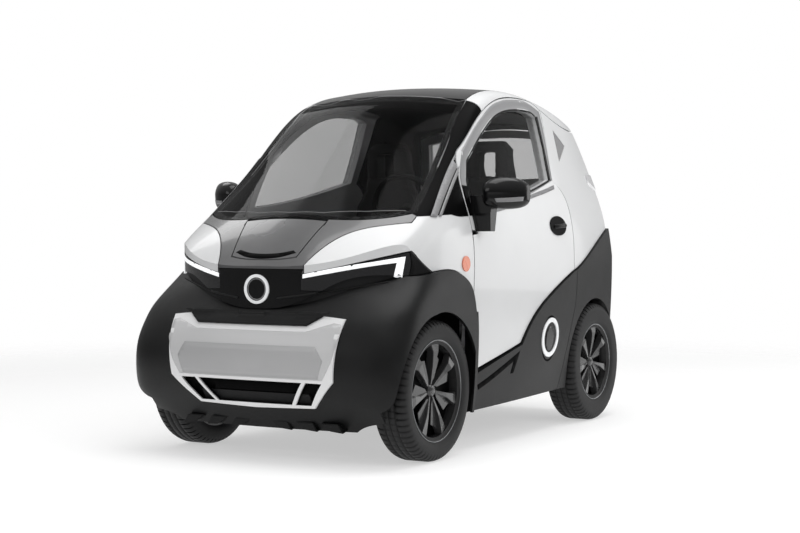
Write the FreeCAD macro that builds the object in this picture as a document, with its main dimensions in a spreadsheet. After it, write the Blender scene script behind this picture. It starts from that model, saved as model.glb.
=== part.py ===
import FreeCAD, Part
import Sketcher
import math
import os

# Two-seat electric microcar, millimetres.
# +X forward, +Y to the car's left, +Z up, origin on the ground in the middle.

V = FreeCAD.Vector
doc = FreeCAD.newDocument("microcar")
sheet = doc.addObject("Spreadsheet::Sheet", "sizes")
row = [0]


def cell(name, value):
    """one driving dimension in the sheet"""
    row[0] += 1
    sheet.set("A%d" % row[0], name)
    sheet.set("B%d" % row[0], str(value))
    sheet.setAlias("B%d" % row[0], name)


SIZES = {
    # stance
    "front_axle_x": 697, "wheelbase": 1610, "wheel_y": 545,
    "king_y": 500, "steer_clearance": 8,
    # wheels
    "tyre_radius": 285, "tyre_width": 155, "tyre_crown": 45, "tyre_shoulder": 66,
    "rim_seat": 186, "rim_lip": 206, "rim_seat_rear": 166, "rim_lip_rear": 184, "rim_wall": 8,
    "hub_radius": 40, "hub_bore": 18, "spoke_count": 7,
    "spoke_foot": 52, "spoke_sweep": 22, "spoke_ridge": 18, "spoke_face": 56,
    "blade_gap": 46, "blade_face": 42, "blade_thick": 8,
    # body layers
    "skin": 10, "proud": 5, "wall": 46, "clad": 12, "seam": 4, "door_seam": 5, "door_rebate": 16,
    "floor_z": 250, "floor_thick": 12, "well_inner_y": 300,
    "glass_depth": 18, "glass_thick": 6,
    # chassis
    "rail_y": 260, "rail_width": 50, "rail_low": 185, "rail_top": 250,
    "rail_front": 985, "rail_rear": 1030,
    # front wheel arch
    "arch_x": 735, "arch_z": 277, "arch_radius": 320, "arch_inner_y": 556,
    # hinges
    "door_inside_y": 405, "door_hinge_x": 342, "door_hinge_y": 600,
    "hinge_low_z": 665, "hinge_high_z": 905, "hinge_pin": 4, "hinge_eye": 7, "hinge_neck": 12,
    "hinge_width": 40, "running_gap": 0.4, "mirror_gap": 0.3, "hinge_room": 5,
    "hatch_hinge_x": -958, "hatch_hinge_y": 250, "hatch_hinge_z": 1434,
}
for size_name in SIZES:
    cell(size_name, SIZES[size_name])

# Stations of the body, nose to tail: x, crown height, corner height,
# corner half width, belt half width, corner round.
STATIONS = [
    (1200, 680, 560, 470, 470, 60),
    (1060, 815, 700, 510, 512, 60),
    (900, 967, 842, 542, 545, 60),
    (790, 1050, 905, 560, 572, 60),
    (683, 1124, 975, 552, 600, 55),
    (380, 1352, 1215, 520, 618, 70),
    (80, 1546, 1480, 480, 628, 85),
    (-110, 1583, 1548, 466, 631, 100),
    (-550, 1573, 1540, 462, 627, 100),
    (-880, 1515, 1475, 455, 612, 90),
    (-1270, 1400, 1340, 420, 590, 90),
]
STATION_WORDS = ("x", "crown", "corner", "cornerwidth", "belt", "round")
for n, station in enumerate(STATIONS):
    for word, value in zip(STATION_WORDS, station):
        cell("body%d_%s" % (n, word), value)


def points(name, values):
    """the points of one outline in the sheet"""
    for n, (a, b) in enumerate(values):
        cell("%s%d_a" % (name, n), a)
        cell("%s%d_b" % (name, n), b)


# Outlines, each a closed line of points. A run ends at a corner.
PLAN = [(1078, 0), (1078, 120), (1035, 300), (935, 470), (800, 585), (600, 665),
        (300, 700), (-500, 700), (-850, 685), (-1050, 655), (-1150, 590),
        (-1192, 470), (-1202, 230), (-1204, 0)]
points("plan", PLAN)
TAIL = [(-935, 1700), (-940, 1465), (-1028, 1310), (-1088, 1160), (-1112, 1050),
        (-1112, 930), (-1125, 820), (-1160, 680), (-1185, 520), (-1195, 380), (-1195, 50)]
points("tail", TAIL)

OUTLINES = {
    # side views, x and z
    "door": [
        [(378, 330), (376, 600), (374, 820), (378, 985)],
        [(378, 985), (381, 1080), (373, 1160), (345, 1235), (299, 1281)],
        [(299, 1281), (200, 1355), (106, 1420), (-11, 1478), (-147, 1517),
         (-274, 1531), (-424, 1532), (-527, 1515), (-566, 1490)],
        [(-566, 1490), (-556, 1380), (-538, 1270), (-518, 1155)],
        [(-518, 1155), (-586, 1119), (-628, 1068), (-642, 1000), (-644, 930),
         (-640, 742)],
        [(-640, 742), (-500, 695), (-364, 640), (-270, 595), (-193, 546),
         (-120, 480), (-78, 431)],
        [(-78, 431), (150, 380), (378, 330)]],
    "window": [
        [(337, 1030), (322, 1130), (282, 1221)],
        [(282, 1221), (129, 1332), (-18, 1415), (-143, 1455), (-283, 1472),
         (-430, 1472), (-490, 1455)],
        [(-490, 1455), (-486, 1310), (-470, 1160)],
        [(-470, 1160), (-198, 1100), (60, 1057), (337, 1030)]],
    "quarter": [
        [(-574, 1495), (-560, 1380), (-540, 1270), (-520, 1155)],
        [(-520, 1155), (-590, 1119), (-634, 1068), (-648, 1000), (-650, 930),
         (-646, 742)],
        [(-646, 742), (-780, 790), (-922, 856), (-1000, 890), (-1300, 994)],
        [(-1300, 994), (-1300, 1440)],
        [(-1300, 1440), (-738, 1440), (-574, 1495)]],
    "quarter_window": [
        [(-677, 1400), (-785, 1333)],
        [(-785, 1333), (-666, 1257)],
        [(-666, 1257), (-677, 1400)]],
    "sill": [
        [(380, 308), (150, 368), (-80, 422)],
        [(-80, 422), (-122, 474), (-195, 540), (-272, 589), (-366, 634),
         (-502, 689), (-646, 738)],
        [(-646, 738), (-650, 650), (-640, 560)],
        [(-640, 560), (-600, 450), (-560, 330), (-505, 184)],
        [(-505, 184), (380, 165)],
        [(380, 165), (380, 308)]],
    "tailclad": [
        [(-650, 736), (-654, 650), (-644, 560)],
        [(-644, 560), (-604, 450), (-564, 330), (-509, 184)],
        [(-509, 184), (-1300, 184)],
        [(-1300, 184), (-1300, 990)],
        [(-1300, 990), (-1000, 886), (-922, 852), (-780, 786), (-650, 736)]],
    "frontclad": [
        [(384, 168), (384, 500)],
        [(384, 500), (399, 600), (430, 695), (490, 742),
         (560, 765), (700, 762), (840, 748), (990, 733), (1060, 640), (1085, 600)],
        [(1085, 600), (1250, 600)],
        [(1250, 600), (1250, 100)],
        [(1250, 100), (700, 100)],
        [(700, 100), (700, 168)],
        [(700, 168), (384, 168)]],
    "wing": [
        [(385, 1000), (381, 820), (384, 600)],
        [(384, 600), (396, 603)],
        [(396, 603), (426, 699), (488, 746), (560, 769), (700, 766),
         (840, 752), (990, 737), (1110, 700)],
        [(1110, 700), (1300, 700)],
        [(1300, 700), (1300, 1300)],
        [(1300, 1300), (704, 1300)],
        [(704, 1300), (704, 985)],
        [(704, 985), (560, 992), (385, 1000)]],
    "pillar": [
        [(700, 989), (560, 996), (374, 1004)],
        [(374, 1004), (60, 1440)],
        [(60, 1440), (95, 1660)],
        [(95, 1660), (700, 1300)],
        [(700, 1300), (700, 989)]],
    "roofside": [
        [(91, 1660), (56, 1440)],
        [(56, 1440), (-500, 1400)],
        [(-500, 1400), (-574, 1499)],
        [(-574, 1499), (-738, 1444), (-1250, 1444)],
        [(-1250, 1444), (-1250, 1700)],
        [(-1250, 1700), (91, 1660)]],
    # plan views, x and y
    "screen": [
        [(866, 0), (858, 170), (822, 320), (760, 430), (683, 508)],
        [(683, 508), (380, 462), (63, 410)],
        [(63, 410), (90, 250), (105, 0)]],
    "roofpanel": [
        [(100, 0), (85, 250), (58, 405)],
        [(58, 405), (-300, 392), (-800, 380)],
        [(-800, 380), (-815, 200), (-820, 0)]],
    "hood": [
        [(700, 0), (700, 517)],
        [(700, 517), (739, 517)],
        [(739, 517), (810, 430), (878, 340), (960, 262), (1059, 204)],
        [(1059, 204), (1250, 190)],
        [(1250, 190), (1250, 0)]],
    "flap": [
        [(876, 0), (874, 100), (868, 195)],
        [(868, 195), (950, 176), (1029, 156)],
        [(1029, 156), (1046, 80), (1050, 0)]],
    # front views, y and z
    "nose": [
        [(0, 776), (204, 776)],
        [(204, 776), (196, 756)],
        [(196, 756), (370, 794), (560, 848)],
        [(560, 848), (640, 640)],
        [(640, 640), (640, 560)],
        [(640, 560), (0, 560)]],
    "lamp": [
        [(196, 752), (370, 790), (556, 843)],
        [(556, 843), (560, 800), (548, 730)],
        [(548, 730), (380, 700), (196, 694)],
        [(196, 694), (196, 752)]],
    "plate": [
        [(0, 598), (300, 596), (412, 586)],
        [(412, 586), (400, 460), (389, 343)],
        [(389, 343), (277, 232)],
        [(277, 232), (0, 224)]],
    "slot": [
        [(0, 337), (250, 337)],
        [(250, 337), (178, 243)],
        [(178, 243), (0, 243)]],
    "sideslot": [
        [(266, 337), (340, 336)],
        [(340, 336), (266, 243)],
        [(266, 243), (194, 243)],
        [(194, 243), (266, 337)]],
    # rear view, y and z
    "hatch": [
        [(0, 1425), (250, 1418), (372, 1395)],
        [(372, 1395), (430, 1200), (452, 1050), (440, 900), (400, 850)],
        [(400, 850), (0, 830)]],
    "rearwindow": [
        [(0, 1390), (240, 1382), (340, 1365)],
        [(340, 1365), (385, 1190)],
        [(385, 1190), (0, 1180)]],
}
for outline_name in OUTLINES:
    flat = []
    for run in OUTLINES[outline_name]:
        flat += run[:-1] if run[-1] == OUTLINES[outline_name][0][0] else run
    seen = []
    for p in flat:
        if p not in seen:
            seen.append(p)
    points(outline_name, seen)

doc.recompute()


def val(name):
    return float(sheet.get(name))


def read_points(name, count):
    return [(val("%s%d_a" % (name, n)), val("%s%d_b" % (name, n))) for n in range(count)]


rear_axle_x = val("front_axle_x") - val("wheelbase")
TALL = 2600.0


# Helpers.
def solid_node(label, shape):
    """a piece whose form no primitive gives"""
    piece = doc.addObject("Part::Feature", label)
    piece.Label = label
    piece.Shape = shape
    piece.Placement = FreeCAD.Placement()
    return piece


def box(label, x, y, z, length, width, height, bound=None):
    piece = doc.addObject("Part::Box", label)
    piece.Label = label
    piece.Length, piece.Width, piece.Height = length, width, height
    piece.Placement.Base = V(x, y, z)
    for key, formula in (bound or {}).items():
        piece.setExpression(key, formula)
    return piece


def rod(label, radius, length, base, axis, bound=None):
    piece = doc.addObject("Part::Cylinder", label)
    piece.Label = label
    piece.Radius, piece.Height = radius, length
    piece.Placement = FreeCAD.Placement(base, FreeCAD.Rotation(V(0, 0, 1), axis))
    for key, formula in (bound or {}).items():
        piece.setExpression(key, formula)
    return piece


def strut(label, radius, a, b):
    return rod(label, radius, (b - a).Length, a, b - a)


def fuse(label, parts):
    piece = doc.addObject("Part::MultiFuse", label)
    piece.Label = label
    piece.Shapes = parts
    return piece


def common(label, parts):
    piece = doc.addObject("Part::MultiCommon", label)
    piece.Label = label
    piece.Shapes = parts
    return piece


def cut(label, base, tool):
    piece = doc.addObject("Part::Cut", label)
    piece.Label = label
    piece.Base = base
    piece.Tool = tool
    return piece


def mirrored(label, source):
    piece = doc.addObject("Part::Mirroring", label)
    piece.Label = label
    piece.Source = source
    piece.Base = V(0, 0, 0)
    piece.Normal = V(0, 1, 0)
    return piece


def group(label, parts):
    piece = doc.addObject("Part::Compound", label)
    piece.Label = label
    piece.Links = parts
    return piece


# Prisms that cut the seams.
def grown(runs, distance):
    """the same runs with every point moved outwards"""
    ring = []
    for run in runs:
        ring += run[:-1]
    area = sum(a[0] * b[1] - b[0] * a[1] for a, b in zip(ring, ring[1:] + ring[:1]))
    turn = 1.0 if area > 0 else -1.0
    moved = []
    for n, p in enumerate(ring):
        a, b = ring[n - 1], ring[(n + 1) % len(ring)]
        normals = []
        for q, r in ((a, p), (p, b)):
            dx, dy = r[0] - q[0], r[1] - q[1]
            size = math.hypot(dx, dy)
            normals.append((turn * dy / size, -turn * dx / size))
        mx, my = normals[0][0] + normals[1][0], normals[0][1] + normals[1][1]
        size = math.hypot(mx, my)
        mx, my = mx / size, my / size
        reach = distance / max(0.45, mx * normals[0][0] + my * normals[0][1])
        moved.append((p[0] + mx * reach, p[1] + my * reach))
    out, n = [], 0
    for run in runs:
        piece = [moved[(n + k) % len(moved)] for k in range(len(run))]
        out.append(piece)
        n += len(run) - 1
    return out


def runs_of(name):
    """an outline's runs with the values that the sheet holds"""
    runs = OUTLINES[name]
    seen, where = [], {}
    for run in runs:
        for p in run:
            if p not in where:
                where[p] = len(seen)
                seen.append(p)
    now = read_points(name, len(seen))
    return [[now[where[p]] for p in run] for run in runs]


def closed_face(runs, at):
    edges = []
    for run in runs:
        pts = [at(a, b) for a, b in run]
        if len(pts) == 2:
            edges.append(Part.makeLine(pts[0], pts[1]))
        else:
            line = Part.BSplineCurve()
            line.interpolate(pts)
            edges.append(line.toShape())
    face = Part.Face(Part.Wire(edges))
    if not face.isValid():
        raise RuntimeError("an outline crosses itself: %s" % runs[0][0][0])
    return face


def side(name, grow=0.0, low=0.0, high=900.0):
    """a side-view outline driven across the car's left half"""
    face = closed_face(grown(runs_of(name), grow) if grow else runs_of(name),
                       lambda a, b: V(a, low, b))
    return solid_node("cutter_%s_%d" % (name, len(doc.Objects)), face.extrude(V(0, high - low, 0)))


def both_halves(runs):
    """a half outline that starts and ends on the middle line, with its mirror image"""
    other = [[(a, -b) for a, b in reversed(run)] for run in reversed(runs)]
    return runs + other


def plan_cut(name, grow=0.0, half=False, low=0.0, high=TALL):
    runs = runs_of(name)
    if not half:
        runs = both_halves(runs)
    if grow:
        runs = grown(runs, grow)
    face = closed_face(runs, lambda a, b: V(a, b, low))
    return solid_node("cutter_%s_%d" % (name, len(doc.Objects)), face.extrude(V(0, 0, high - low)))


def front_cut(name, start, end, grow=0.0, half=True):
    runs = runs_of(name)
    if not half:
        other = [[(-a, b) for a, b in reversed(run)] for run in reversed(runs)]
        runs = runs + other
    if grow:
        runs = grown(runs, grow)
    face = closed_face(runs, lambda a, b: V(start, a, b))
    return solid_node("cutter_%s_%d" % (name, len(doc.Objects)), face.extrude(V(end - start, 0, 0)))


# Body surfaces.
def skin_through(sections):
    """one smooth surface over section curves that have the same number of poles"""
    middle = [s[len(s) // 2] for s in sections]
    along = [0.0]
    for a, b in zip(middle, middle[1:]):
        along.append(along[-1] + max(1.0, abs(a.x - b.x) + 0.5 * abs(a.z - b.z)))
    along = [a / along[-1] for a in along]
    lines = []
    for column in zip(*sections):
        line = Part.BSplineCurve()
        line.interpolate(Points=list(column), Parameters=along)
        lines.append(line)
    count = len(lines)
    knots = [n / (count - 3) for n in range(count - 2)]
    mults = [4] + [1] * (count - 4) + [4]
    poles = [[line.getPole(n + 1) for line in lines] for n in range(lines[0].NbPoles)]
    surface = Part.BSplineSurface()
    surface.buildFromPolesMultsKnots(poles, lines[0].getMultiplicities(), mults,
                                     lines[0].getKnots(), knots, False, False, 3, 3)
    return surface


def capped(surface, on_base):
    """closes a skin with two end faces and a flat base"""
    face = surface.toShape()
    base, ends = [], []
    for edge in face.Edges:
        first, last = edge.FirstParameter, edge.LastParameter
        spots = [edge.valueAt(first + (last - first) * k / 4.0) for k in range(5)]
        (base if all(on_base(p) for p in spots) else ends).append(edge)
    faces, closing = [face], []
    for edge in ends:
        line = Part.makeLine(edge.valueAt(edge.LastParameter), edge.valueAt(edge.FirstParameter))
        closing.append(line)
        faces.append(Part.Face(Part.Wire([edge, line])))
    faces.append(Part.Face(Part.Wire(Part.__sortEdges__(base + closing))))
    shell = Part.makeShell(faces)
    shell.sewShape()
    solid = Part.makeSolid(shell)
    if solid.Volume < 0:
        solid.reverse()
    return solid


BODY_LOW = 150.0


def body_section(n, inset):
    x, crown, corner, corner_y, belt, turn = [val("body%d_%s" % (n, w)) for w in STATION_WORDS]
    high = min(900.0, corner - 110.0)
    dy, dz = corner_y - belt, corner - high
    size = math.hypot(dy, dz)
    half = [(belt - 52 - inset, BODY_LOW), (belt - 32 - inset, 300), (belt - 4 - inset, 600),
            (belt + 2 - inset, high), (belt + dy * 0.35 - inset, high + dz * 0.35),
            (corner_y - dy / size * turn - inset, corner - dz / size * turn - 0.35 * inset),
            (corner_y - inset * 0.8, corner - inset * 0.8),
            (corner_y - turn - inset * 0.6, corner + (crown - corner) * 0.28 - inset),
            (corner_y * 0.45, crown - (crown - corner) * 0.22 - inset)]
    ring = half + [(0, crown - inset)] + [(-y, z) for y, z in reversed(half)]
    return [V(x, y, z) for y, z in ring]


def rounded_ends(inset):
    """what the nose and tail rounding leave: the plan outline and the tail's profile"""
    plan = read_points("plan", len(PLAN))
    moved = [(x - (inset if x > 0 else -inset), max(0.0, y - inset) if y else 0.0)
             for x, y in plan]
    ring = moved + [(x, -y) for x, y in reversed(moved[1:-1])]
    line = Part.BSplineCurve()
    line.buildFromPoles([V(x, y, 100) for x, y in ring], True, 3)
    block = Part.Face(Part.Wire(line.toShape())).extrude(V(0, 0, 1600))
    tail = [(x + inset, z) for x, z in read_points("tail", len(TAIL))]
    back = Part.BSplineCurve()
    back.interpolate([V(x, -800, z) for x, z in tail])
    top, bottom = V(tail[0][0], -800, tail[0][1]), V(tail[-1][0], -800, tail[-1][1])
    front_top, front_bottom = V(1500, -800, top.z), V(1500, -800, bottom.z)
    wire = Part.Wire([back.toShape(), Part.makeLine(bottom, front_bottom),
                      Part.makeLine(front_bottom, front_top), Part.makeLine(front_top, top)])
    return block.common(Part.Face(wire).extrude(V(0, 1600, 0)))


def body_solid(inset):
    sections = [body_section(n, inset) for n in range(len(STATIONS))]
    full = capped(skin_through(sections), lambda p: abs(p.z - BODY_LOW) < 0.01)
    return full.common(rounded_ends(inset))


skin, wall, clad, seam = val("skin"), val("wall"), val("clad"), val("seam")
outer = solid_node("body_outer", body_solid(0.0))
under_skin = solid_node("body_under_skin", body_solid(skin))
inner = solid_node("body_inner", body_solid(wall))
cladding = solid_node("body_cladding", body_solid(-clad))
skin_layer = cut("skin_layer", outer, under_skin)
frame_layer = cut("frame_layer", under_skin, inner)
wall_layer = cut("wall_layer", outer, inner)
clad_layer = cut("clad_layer", cladding, under_skin)

# Front bumper with the front arches: plan outlines at several heights.
BUMPER = [
    (140, [(1044, 0), (1040, 170), (1020, 370), (985, 540), (930, 610), (830, 622), (640, 616),
           (384, 614)]),
    (250, [(1095, 0), (1092, 170), (1078, 380), (1075, 575), (1030, 652), (870, 642), (640, 634),
           (384, 628)]),
    (350, [(1140, 0), (1138, 170), (1125, 385), (1108, 588), (1040, 666), (865, 654), (640, 645),
           (384, 636)]),
    (450, [(1152, 0), (1150, 170), (1128, 380), (1102, 590), (1030, 666), (860, 656), (640, 648),
           (384, 640)]),
    (550, [(1125, 0), (1122, 170), (1095, 385), (1060, 576), (990, 656), (850, 654), (640, 648),
           (384, 640)]),
    (620, [(1072, 0), (1070, 160), (1045, 365), (1008, 560), (945, 640), (830, 648), (640, 642),
           (384, 636)]),
    (700, [(1000, 0), (1000, 160), (985, 335), (935, 500), (870, 606), (785, 634), (640, 634),
           (384, 632)]),
    (780, [(920, 0), (920, 160), (905, 300), (852, 455), (800, 560), (740, 602), (640, 608),
           (384, 615)]),
]
for n, (level, line) in enumerate(BUMPER):
    cell("bumper%d_z" % n, level)
    points("bumper%d_" % n, line)
doc.recompute()


def bumper_solid(inset):
    sections = []
    for n, (level, line) in enumerate(BUMPER):
        half = read_points("bumper%d_" % n, len(line))
        half = [(x - (inset if k < len(half) - 2 else 0), max(0.0, y - inset) if y else 0.0)
                for k, (x, y) in enumerate(half)]
        ring = [(x, -y) for x, y in reversed(half)] + half[1:]
        sections.append([V(x, y, val("bumper%d_z" % n)) for x, y in ring])
    back = val("bumper0_7_a")
    return capped(skin_through(sections), lambda p: abs(p.x - back) < 0.01)


bumper_outer = solid_node("bumper_outer", bumper_solid(0.0))
bumper_inner = solid_node("bumper_inner", bumper_solid(clad))


# Wheel openings.
def wheel_room(label, x, steered):
    """the space that one left wheel sweeps, with its clearance"""
    reach = math.hypot(val("tyre_radius"), val("tyre_width") / 2.0 + val("wheel_y") - val("king_y"))
    reach += val("steer_clearance")
    if not steered:
        reach = val("tyre_radius") + 3 * val("steer_clearance")
    inside = val("well_inner_y") + 6 if steered else val("wheel_y") - val("tyre_width") / 2 - 14
    turned = rod(label + "_round", reach, 500, V(x, inside, val("tyre_radius")), V(0, 1, 0))
    turned.setExpression("Placement.Base.z", "sizes.tyre_radius")
    if not steered:
        slot = box(label + "_slot", x - reach, inside, -50, 2 * reach, 500,
                   50 + val("tyre_radius"))
        return fuse(label, [turned, slot])
    post = rod(label + "_post", reach, 800, V(x, val("king_y"), -50), V(0, 0, 1))
    mouth = common(label + "_mouth", [turned, post])
    below = common(label + "_below",
                   [box(label + "_slot", x - reach, inside, -50, 2 * reach, 500,
                        50 + val("tyre_radius")),
                    rod(label + "_post2", reach, 800, V(x, val("king_y"), -50), V(0, 0, 1))])
    return fuse(label, [mouth, below])


front_well_left = wheel_room("front_well_left", val("front_axle_x"), True)
front_well_right = mirrored("front_well_right", front_well_left)
rear_well_left = wheel_room("rear_well_left", rear_axle_x, False)
rear_well_right = mirrored("rear_well_right", rear_well_left)
wells = group("wells", [front_well_left, front_well_right, rear_well_left, rear_well_right])

# Outer panels.
door_inside = val("door_inside_y")
door_gap = side("door", val("door_seam"), door_inside - val("door_seam"))
door_gap_right = mirrored("door_gap_right", door_gap)
screen_gap = plan_cut("screen", seam, low=900)
nose_gap = front_cut("nose", 600, 1400, 2.0, False)
clad_gap = side("frontclad", seam, -900, 900)
hood_gap = plan_cut("hood", seam, low=600)
roof_gap = plan_cut("roofpanel", seam, low=1300)
hatch_gap = front_cut("hatch", -1300, -600, val("door_seam"), False)


def chain(label, body, gaps):
    """cuts one gap after another; the last cut carries the name"""
    for n, gap in enumerate(gaps):
        last = n == len(gaps) - 1
        body = cut(label if last else "%s_%d" % (label, n), body, gap)
    return body


def panel(label, layer, shapes, gaps):
    """one panel of a layer: inside every shape and outside every gap"""
    body = common(label if not gaps else label + "_whole", [layer] + shapes)
    return chain(label, body, gaps)


nodes = []


def keep(*pieces):
    nodes.extend(pieces)
    return pieces[0]


wing = keep(panel("wing_left", skin_layer, [side("wing")], [hood_gap, nose_gap, screen_gap]))
keep(mirrored("wing_right", wing))
pillar = keep(panel("pillar_left", skin_layer, [side("pillar")], [door_gap, screen_gap, roof_gap]))
keep(mirrored("pillar_right", pillar))
quarter_glass_hole = side("quarter_window", 3)
quarter = keep(panel("quarter_left", skin_layer, [side("quarter", 0, 0.5)],
                     [hatch_gap, quarter_glass_hole]))
keep(mirrored("quarter_right", quarter))
quarter_glass = keep(panel("quarter_glass_left", skin_layer, [side("quarter_window")], []))
keep(mirrored("quarter_glass_right", quarter_glass))
roof_shell = panel("roof_shell", skin_layer, [side("roofside", 0, -900, 900)],
                   [door_gap, door_gap_right, roof_gap, screen_gap, hatch_gap])
keep(panel("roof_panel", skin_layer, [plan_cut("roofpanel", low=1300)], [screen_gap]))
keep(panel("windscreen", skin_layer, [plan_cut("screen", low=900)], []))
lamp_hole = front_cut("lamp", 600, 1400, 2.0)
lamp_hole_right = mirrored("lamp_hole_right", lamp_hole)
flap_gap = fuse("flap_gap", [plan_cut("flap", 5, low=600),
                             box("flap_back", 830, -200, 600, 60, 400, 500)])
keep(panel("bonnet", skin_layer, [plan_cut("hood", low=600)],
           [nose_gap, screen_gap, flap_gap]))
keep(panel("nose_visor", skin_layer, [front_cut("nose", 600, 1400, 0.0, False)],
           [lamp_hole, lamp_hole_right, clad_gap]))
lamp = keep(panel("headlamp_left", skin_layer, [front_cut("lamp", 600, 1400)], [clad_gap]))
keep(mirrored("headlamp_right", lamp))
flap = keep(panel("service_flap", skin_layer, [plan_cut("flap", low=600)], []))

# Front bumper, its face plate and the slots through both.
slots = [front_cut("slot", 900, 1400, 0.0, False), front_cut("sideslot", 900, 1400)]
slots.append(mirrored("sideslot_right", slots[1]))
bumper_ring = cut("bumper_ring", bumper_outer, bumper_inner)
upper_body = common("upper_body", [under_skin, box("above_shelf", -1300, -800, 598,
                                                   2600, 1600, 1200)])
arch = rod("front_arch_left", val("arch_radius"), 300,
           V(val("arch_x"), val("arch_inner_y"), val("arch_z")), V(0, 1, 0),
           {"Radius": "sizes.arch_radius", "Placement.Base.x": "sizes.arch_x",
            "Placement.Base.y": "sizes.arch_inner_y", "Placement.Base.z": "sizes.arch_z"})
bumper_skin = panel("bumper_skin", bumper_ring, [side("frontclad", 0, -900, 900)],
                    [upper_body, front_well_left, front_well_right, arch,
                     mirrored("front_arch_right", arch)] + slots)
back_x = val("bumper0_7_a")
flange = common("arch_flange_left", [bumper_outer, box("flange_box", back_x, 579, 170, 9, 90, 420)])
keep(fuse("front_bumper", [bumper_skin, flange, mirrored("arch_flange_right", flange)]))
plate_out = solid_node("plate_out", bumper_solid(-8))
plate_layer = cut("plate_layer", plate_out, bumper_outer)
keep(panel("bumper_panel", plate_layer, [front_cut("plate", 900, 1400, 0.0, False)], slots))

# Sills and rear cladding.
sill = keep(panel("sill_left", clad_layer, [side("sill")], [front_well_left, rear_well_left]))
keep(mirrored("sill_right", sill))
keep(panel("rear_bumper", clad_layer, [side("tailclad", 0, -900, 900)],
           [rear_well_left, rear_well_right, hatch_gap]))

# The frame behind the panels.
front_low = box("front_low", 372, -800, 0, 1000, 1600, 612)
bay = plan_cut("flap", 0.0, low=600)
rebate = side("door", val("door_rebate"), door_inside - val("door_seam"))

pin, eye, width = val("hinge_pin"), val("hinge_eye"), val("hinge_width")
play, room = val("running_gap"), val("hinge_room")
UP, LEFTWARD = V(0, 0, 1), V(0, 1, 0)
hinge_x, hinge_y = val("door_hinge_x"), val("door_hinge_y")
neck = val("hinge_neck")
# the arm passes behind the frame, so that it clears the wing and the open door
inside = hinge_y - 50
door_pins, door_notches, door_arms = [], [], []
for place, z in (("low", val("hinge_low_z")), ("high", val("hinge_high_z"))):
    low, tall = z - width / 2, width + 2 * room
    door_pins.append(rod("door_pin_" + place, pin, tall + 20, V(hinge_x, hinge_y, low - room - 10),
                         UP, {"Radius": "sizes.hinge_pin"}))
    door_notches.append(box("door_notch_" + place, hinge_x - eye - 6, hinge_y - 80, low - room,
                            80, 80 + eye + 1.5, tall))
    arm_solid = fuse("door_arm_solid_" + place, [
        rod("door_eye_" + place, eye, width, V(hinge_x, hinge_y, low), UP,
            {"Radius": "sizes.hinge_eye", "Height": "sizes.hinge_width"}),
        box("door_neck_" + place, hinge_x - neck / 2, inside, low, neck, hinge_y - inside, width),
        box("door_bar_" + place, hinge_x - neck / 2, inside, low, 68, neck, width),
        box("door_foot_" + place, hinge_x + 54, inside, low, 8, 40, width)])
    door_arms.append(cut("door_arm_" + place, arm_solid,
                         rod("door_bore_" + place, pin + play, width + 4,
                             V(hinge_x, hinge_y, low - 2), UP,
                             {"Radius": "sizes.hinge_pin + sizes.running_gap"})))
hatch_x, hatch_z = val("hatch_hinge_x"), val("hatch_hinge_z")
hatch_pins, hatch_rooms, hatch_eyes, hatch_bores = [], [], [], []
for sign in (1, -1):
    low = sign * val("hatch_hinge_y") - width / 2
    hatch_pins.append(rod("hatch_pin_%d" % sign, pin, width + 60, V(hatch_x, low - 30, hatch_z),
                          LEFTWARD, {"Radius": "sizes.hinge_pin"}))
    hatch_rooms.append(box("hatch_room_%d" % sign, hatch_x - 40, low - room, hatch_z - 40,
                           80, width + 2 * room, 56))
    for n, (a, b) in enumerate([(low - 30, low - room), (low + width + room, low + width + 30)]):
        hatch_pins.append(rod("hatch_seat_%d_%d" % (sign, n), eye, b - a,
                              V(hatch_x, a, hatch_z), LEFTWARD, {"Radius": "sizes.hinge_eye"}))
    hatch_eyes.append(rod("hatch_eye_%d" % sign, eye, width, V(hatch_x, low, hatch_z), LEFTWARD,
                          {"Radius": "sizes.hinge_eye", "Height": "sizes.hinge_width"}))
    hatch_eyes.append(box("hatch_tab_%d" % sign, hatch_x - 4, low, hatch_z - 42, 11, width, 42))
    hatch_bores.append(rod("hatch_bore_%d" % sign, pin + play, width + 4,
                           V(hatch_x, low - 2, hatch_z), LEFTWARD,
                           {"Radius": "sizes.hinge_pin + sizes.running_gap"}))
frame_shell = chain("frame_shell", frame_layer, [
            front_low, rebate, mirrored("rebate_right", rebate),
            plan_cut("screen", -30, low=900), hatch_gap, side("quarter_window", -10, -900, 900),
            rear_well_left, rear_well_right, bay,
            box("frame_low", -1300, -800, 0, 1700, 1600, 190)] + hatch_rooms)
right_arms = [mirrored("%s_right" % piece.Name, piece) for piece in door_arms]
keep(fuse("body_frame", [frame_shell] + door_arms + right_arms))
keep(fuse("roof_frame", [chain("roof_cut", roof_shell, hatch_rooms)] + hatch_pins))

# Doors, their glass and the mirrors.
window = side("window")
door_shell = panel("door_shell", wall_layer, [side("door", 0, door_inside)], [window] + door_notches)
door = keep(fuse("door_left", [door_shell] + door_pins))
keep(mirrored("door_right", door))
glass_out = solid_node("glass_out", body_solid(val("glass_depth")))
glass_in = solid_node("glass_in", body_solid(val("glass_depth") + val("glass_thick")))
glass_layer = cut("glass_layer", glass_out, glass_in)
door_glass = keep(panel("door_glass_left", glass_layer, [window], []))
keep(mirrored("door_glass_right", door_glass))

# Tailgate with its glass.
rear_window = front_cut("rearwindow", -1300, -600, 0.0, False)
gate = panel("gate_shell", wall_layer, [front_cut("hatch", -1300, -600, 0.0, False)], [rear_window])
keep(cut("tailgate", fuse("gate_solid", [gate] + hatch_eyes), group("hatch_bores", hatch_bores)))
keep(panel("rear_glass", glass_layer, [rear_window,
                                       front_cut("hatch", -1300, -600, 0.0, False)], []))


# Sketched pieces.
def plane_of(body, role):
    return [f for f in body.Origin.OriginFeatures if f.Role == role][0]


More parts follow.
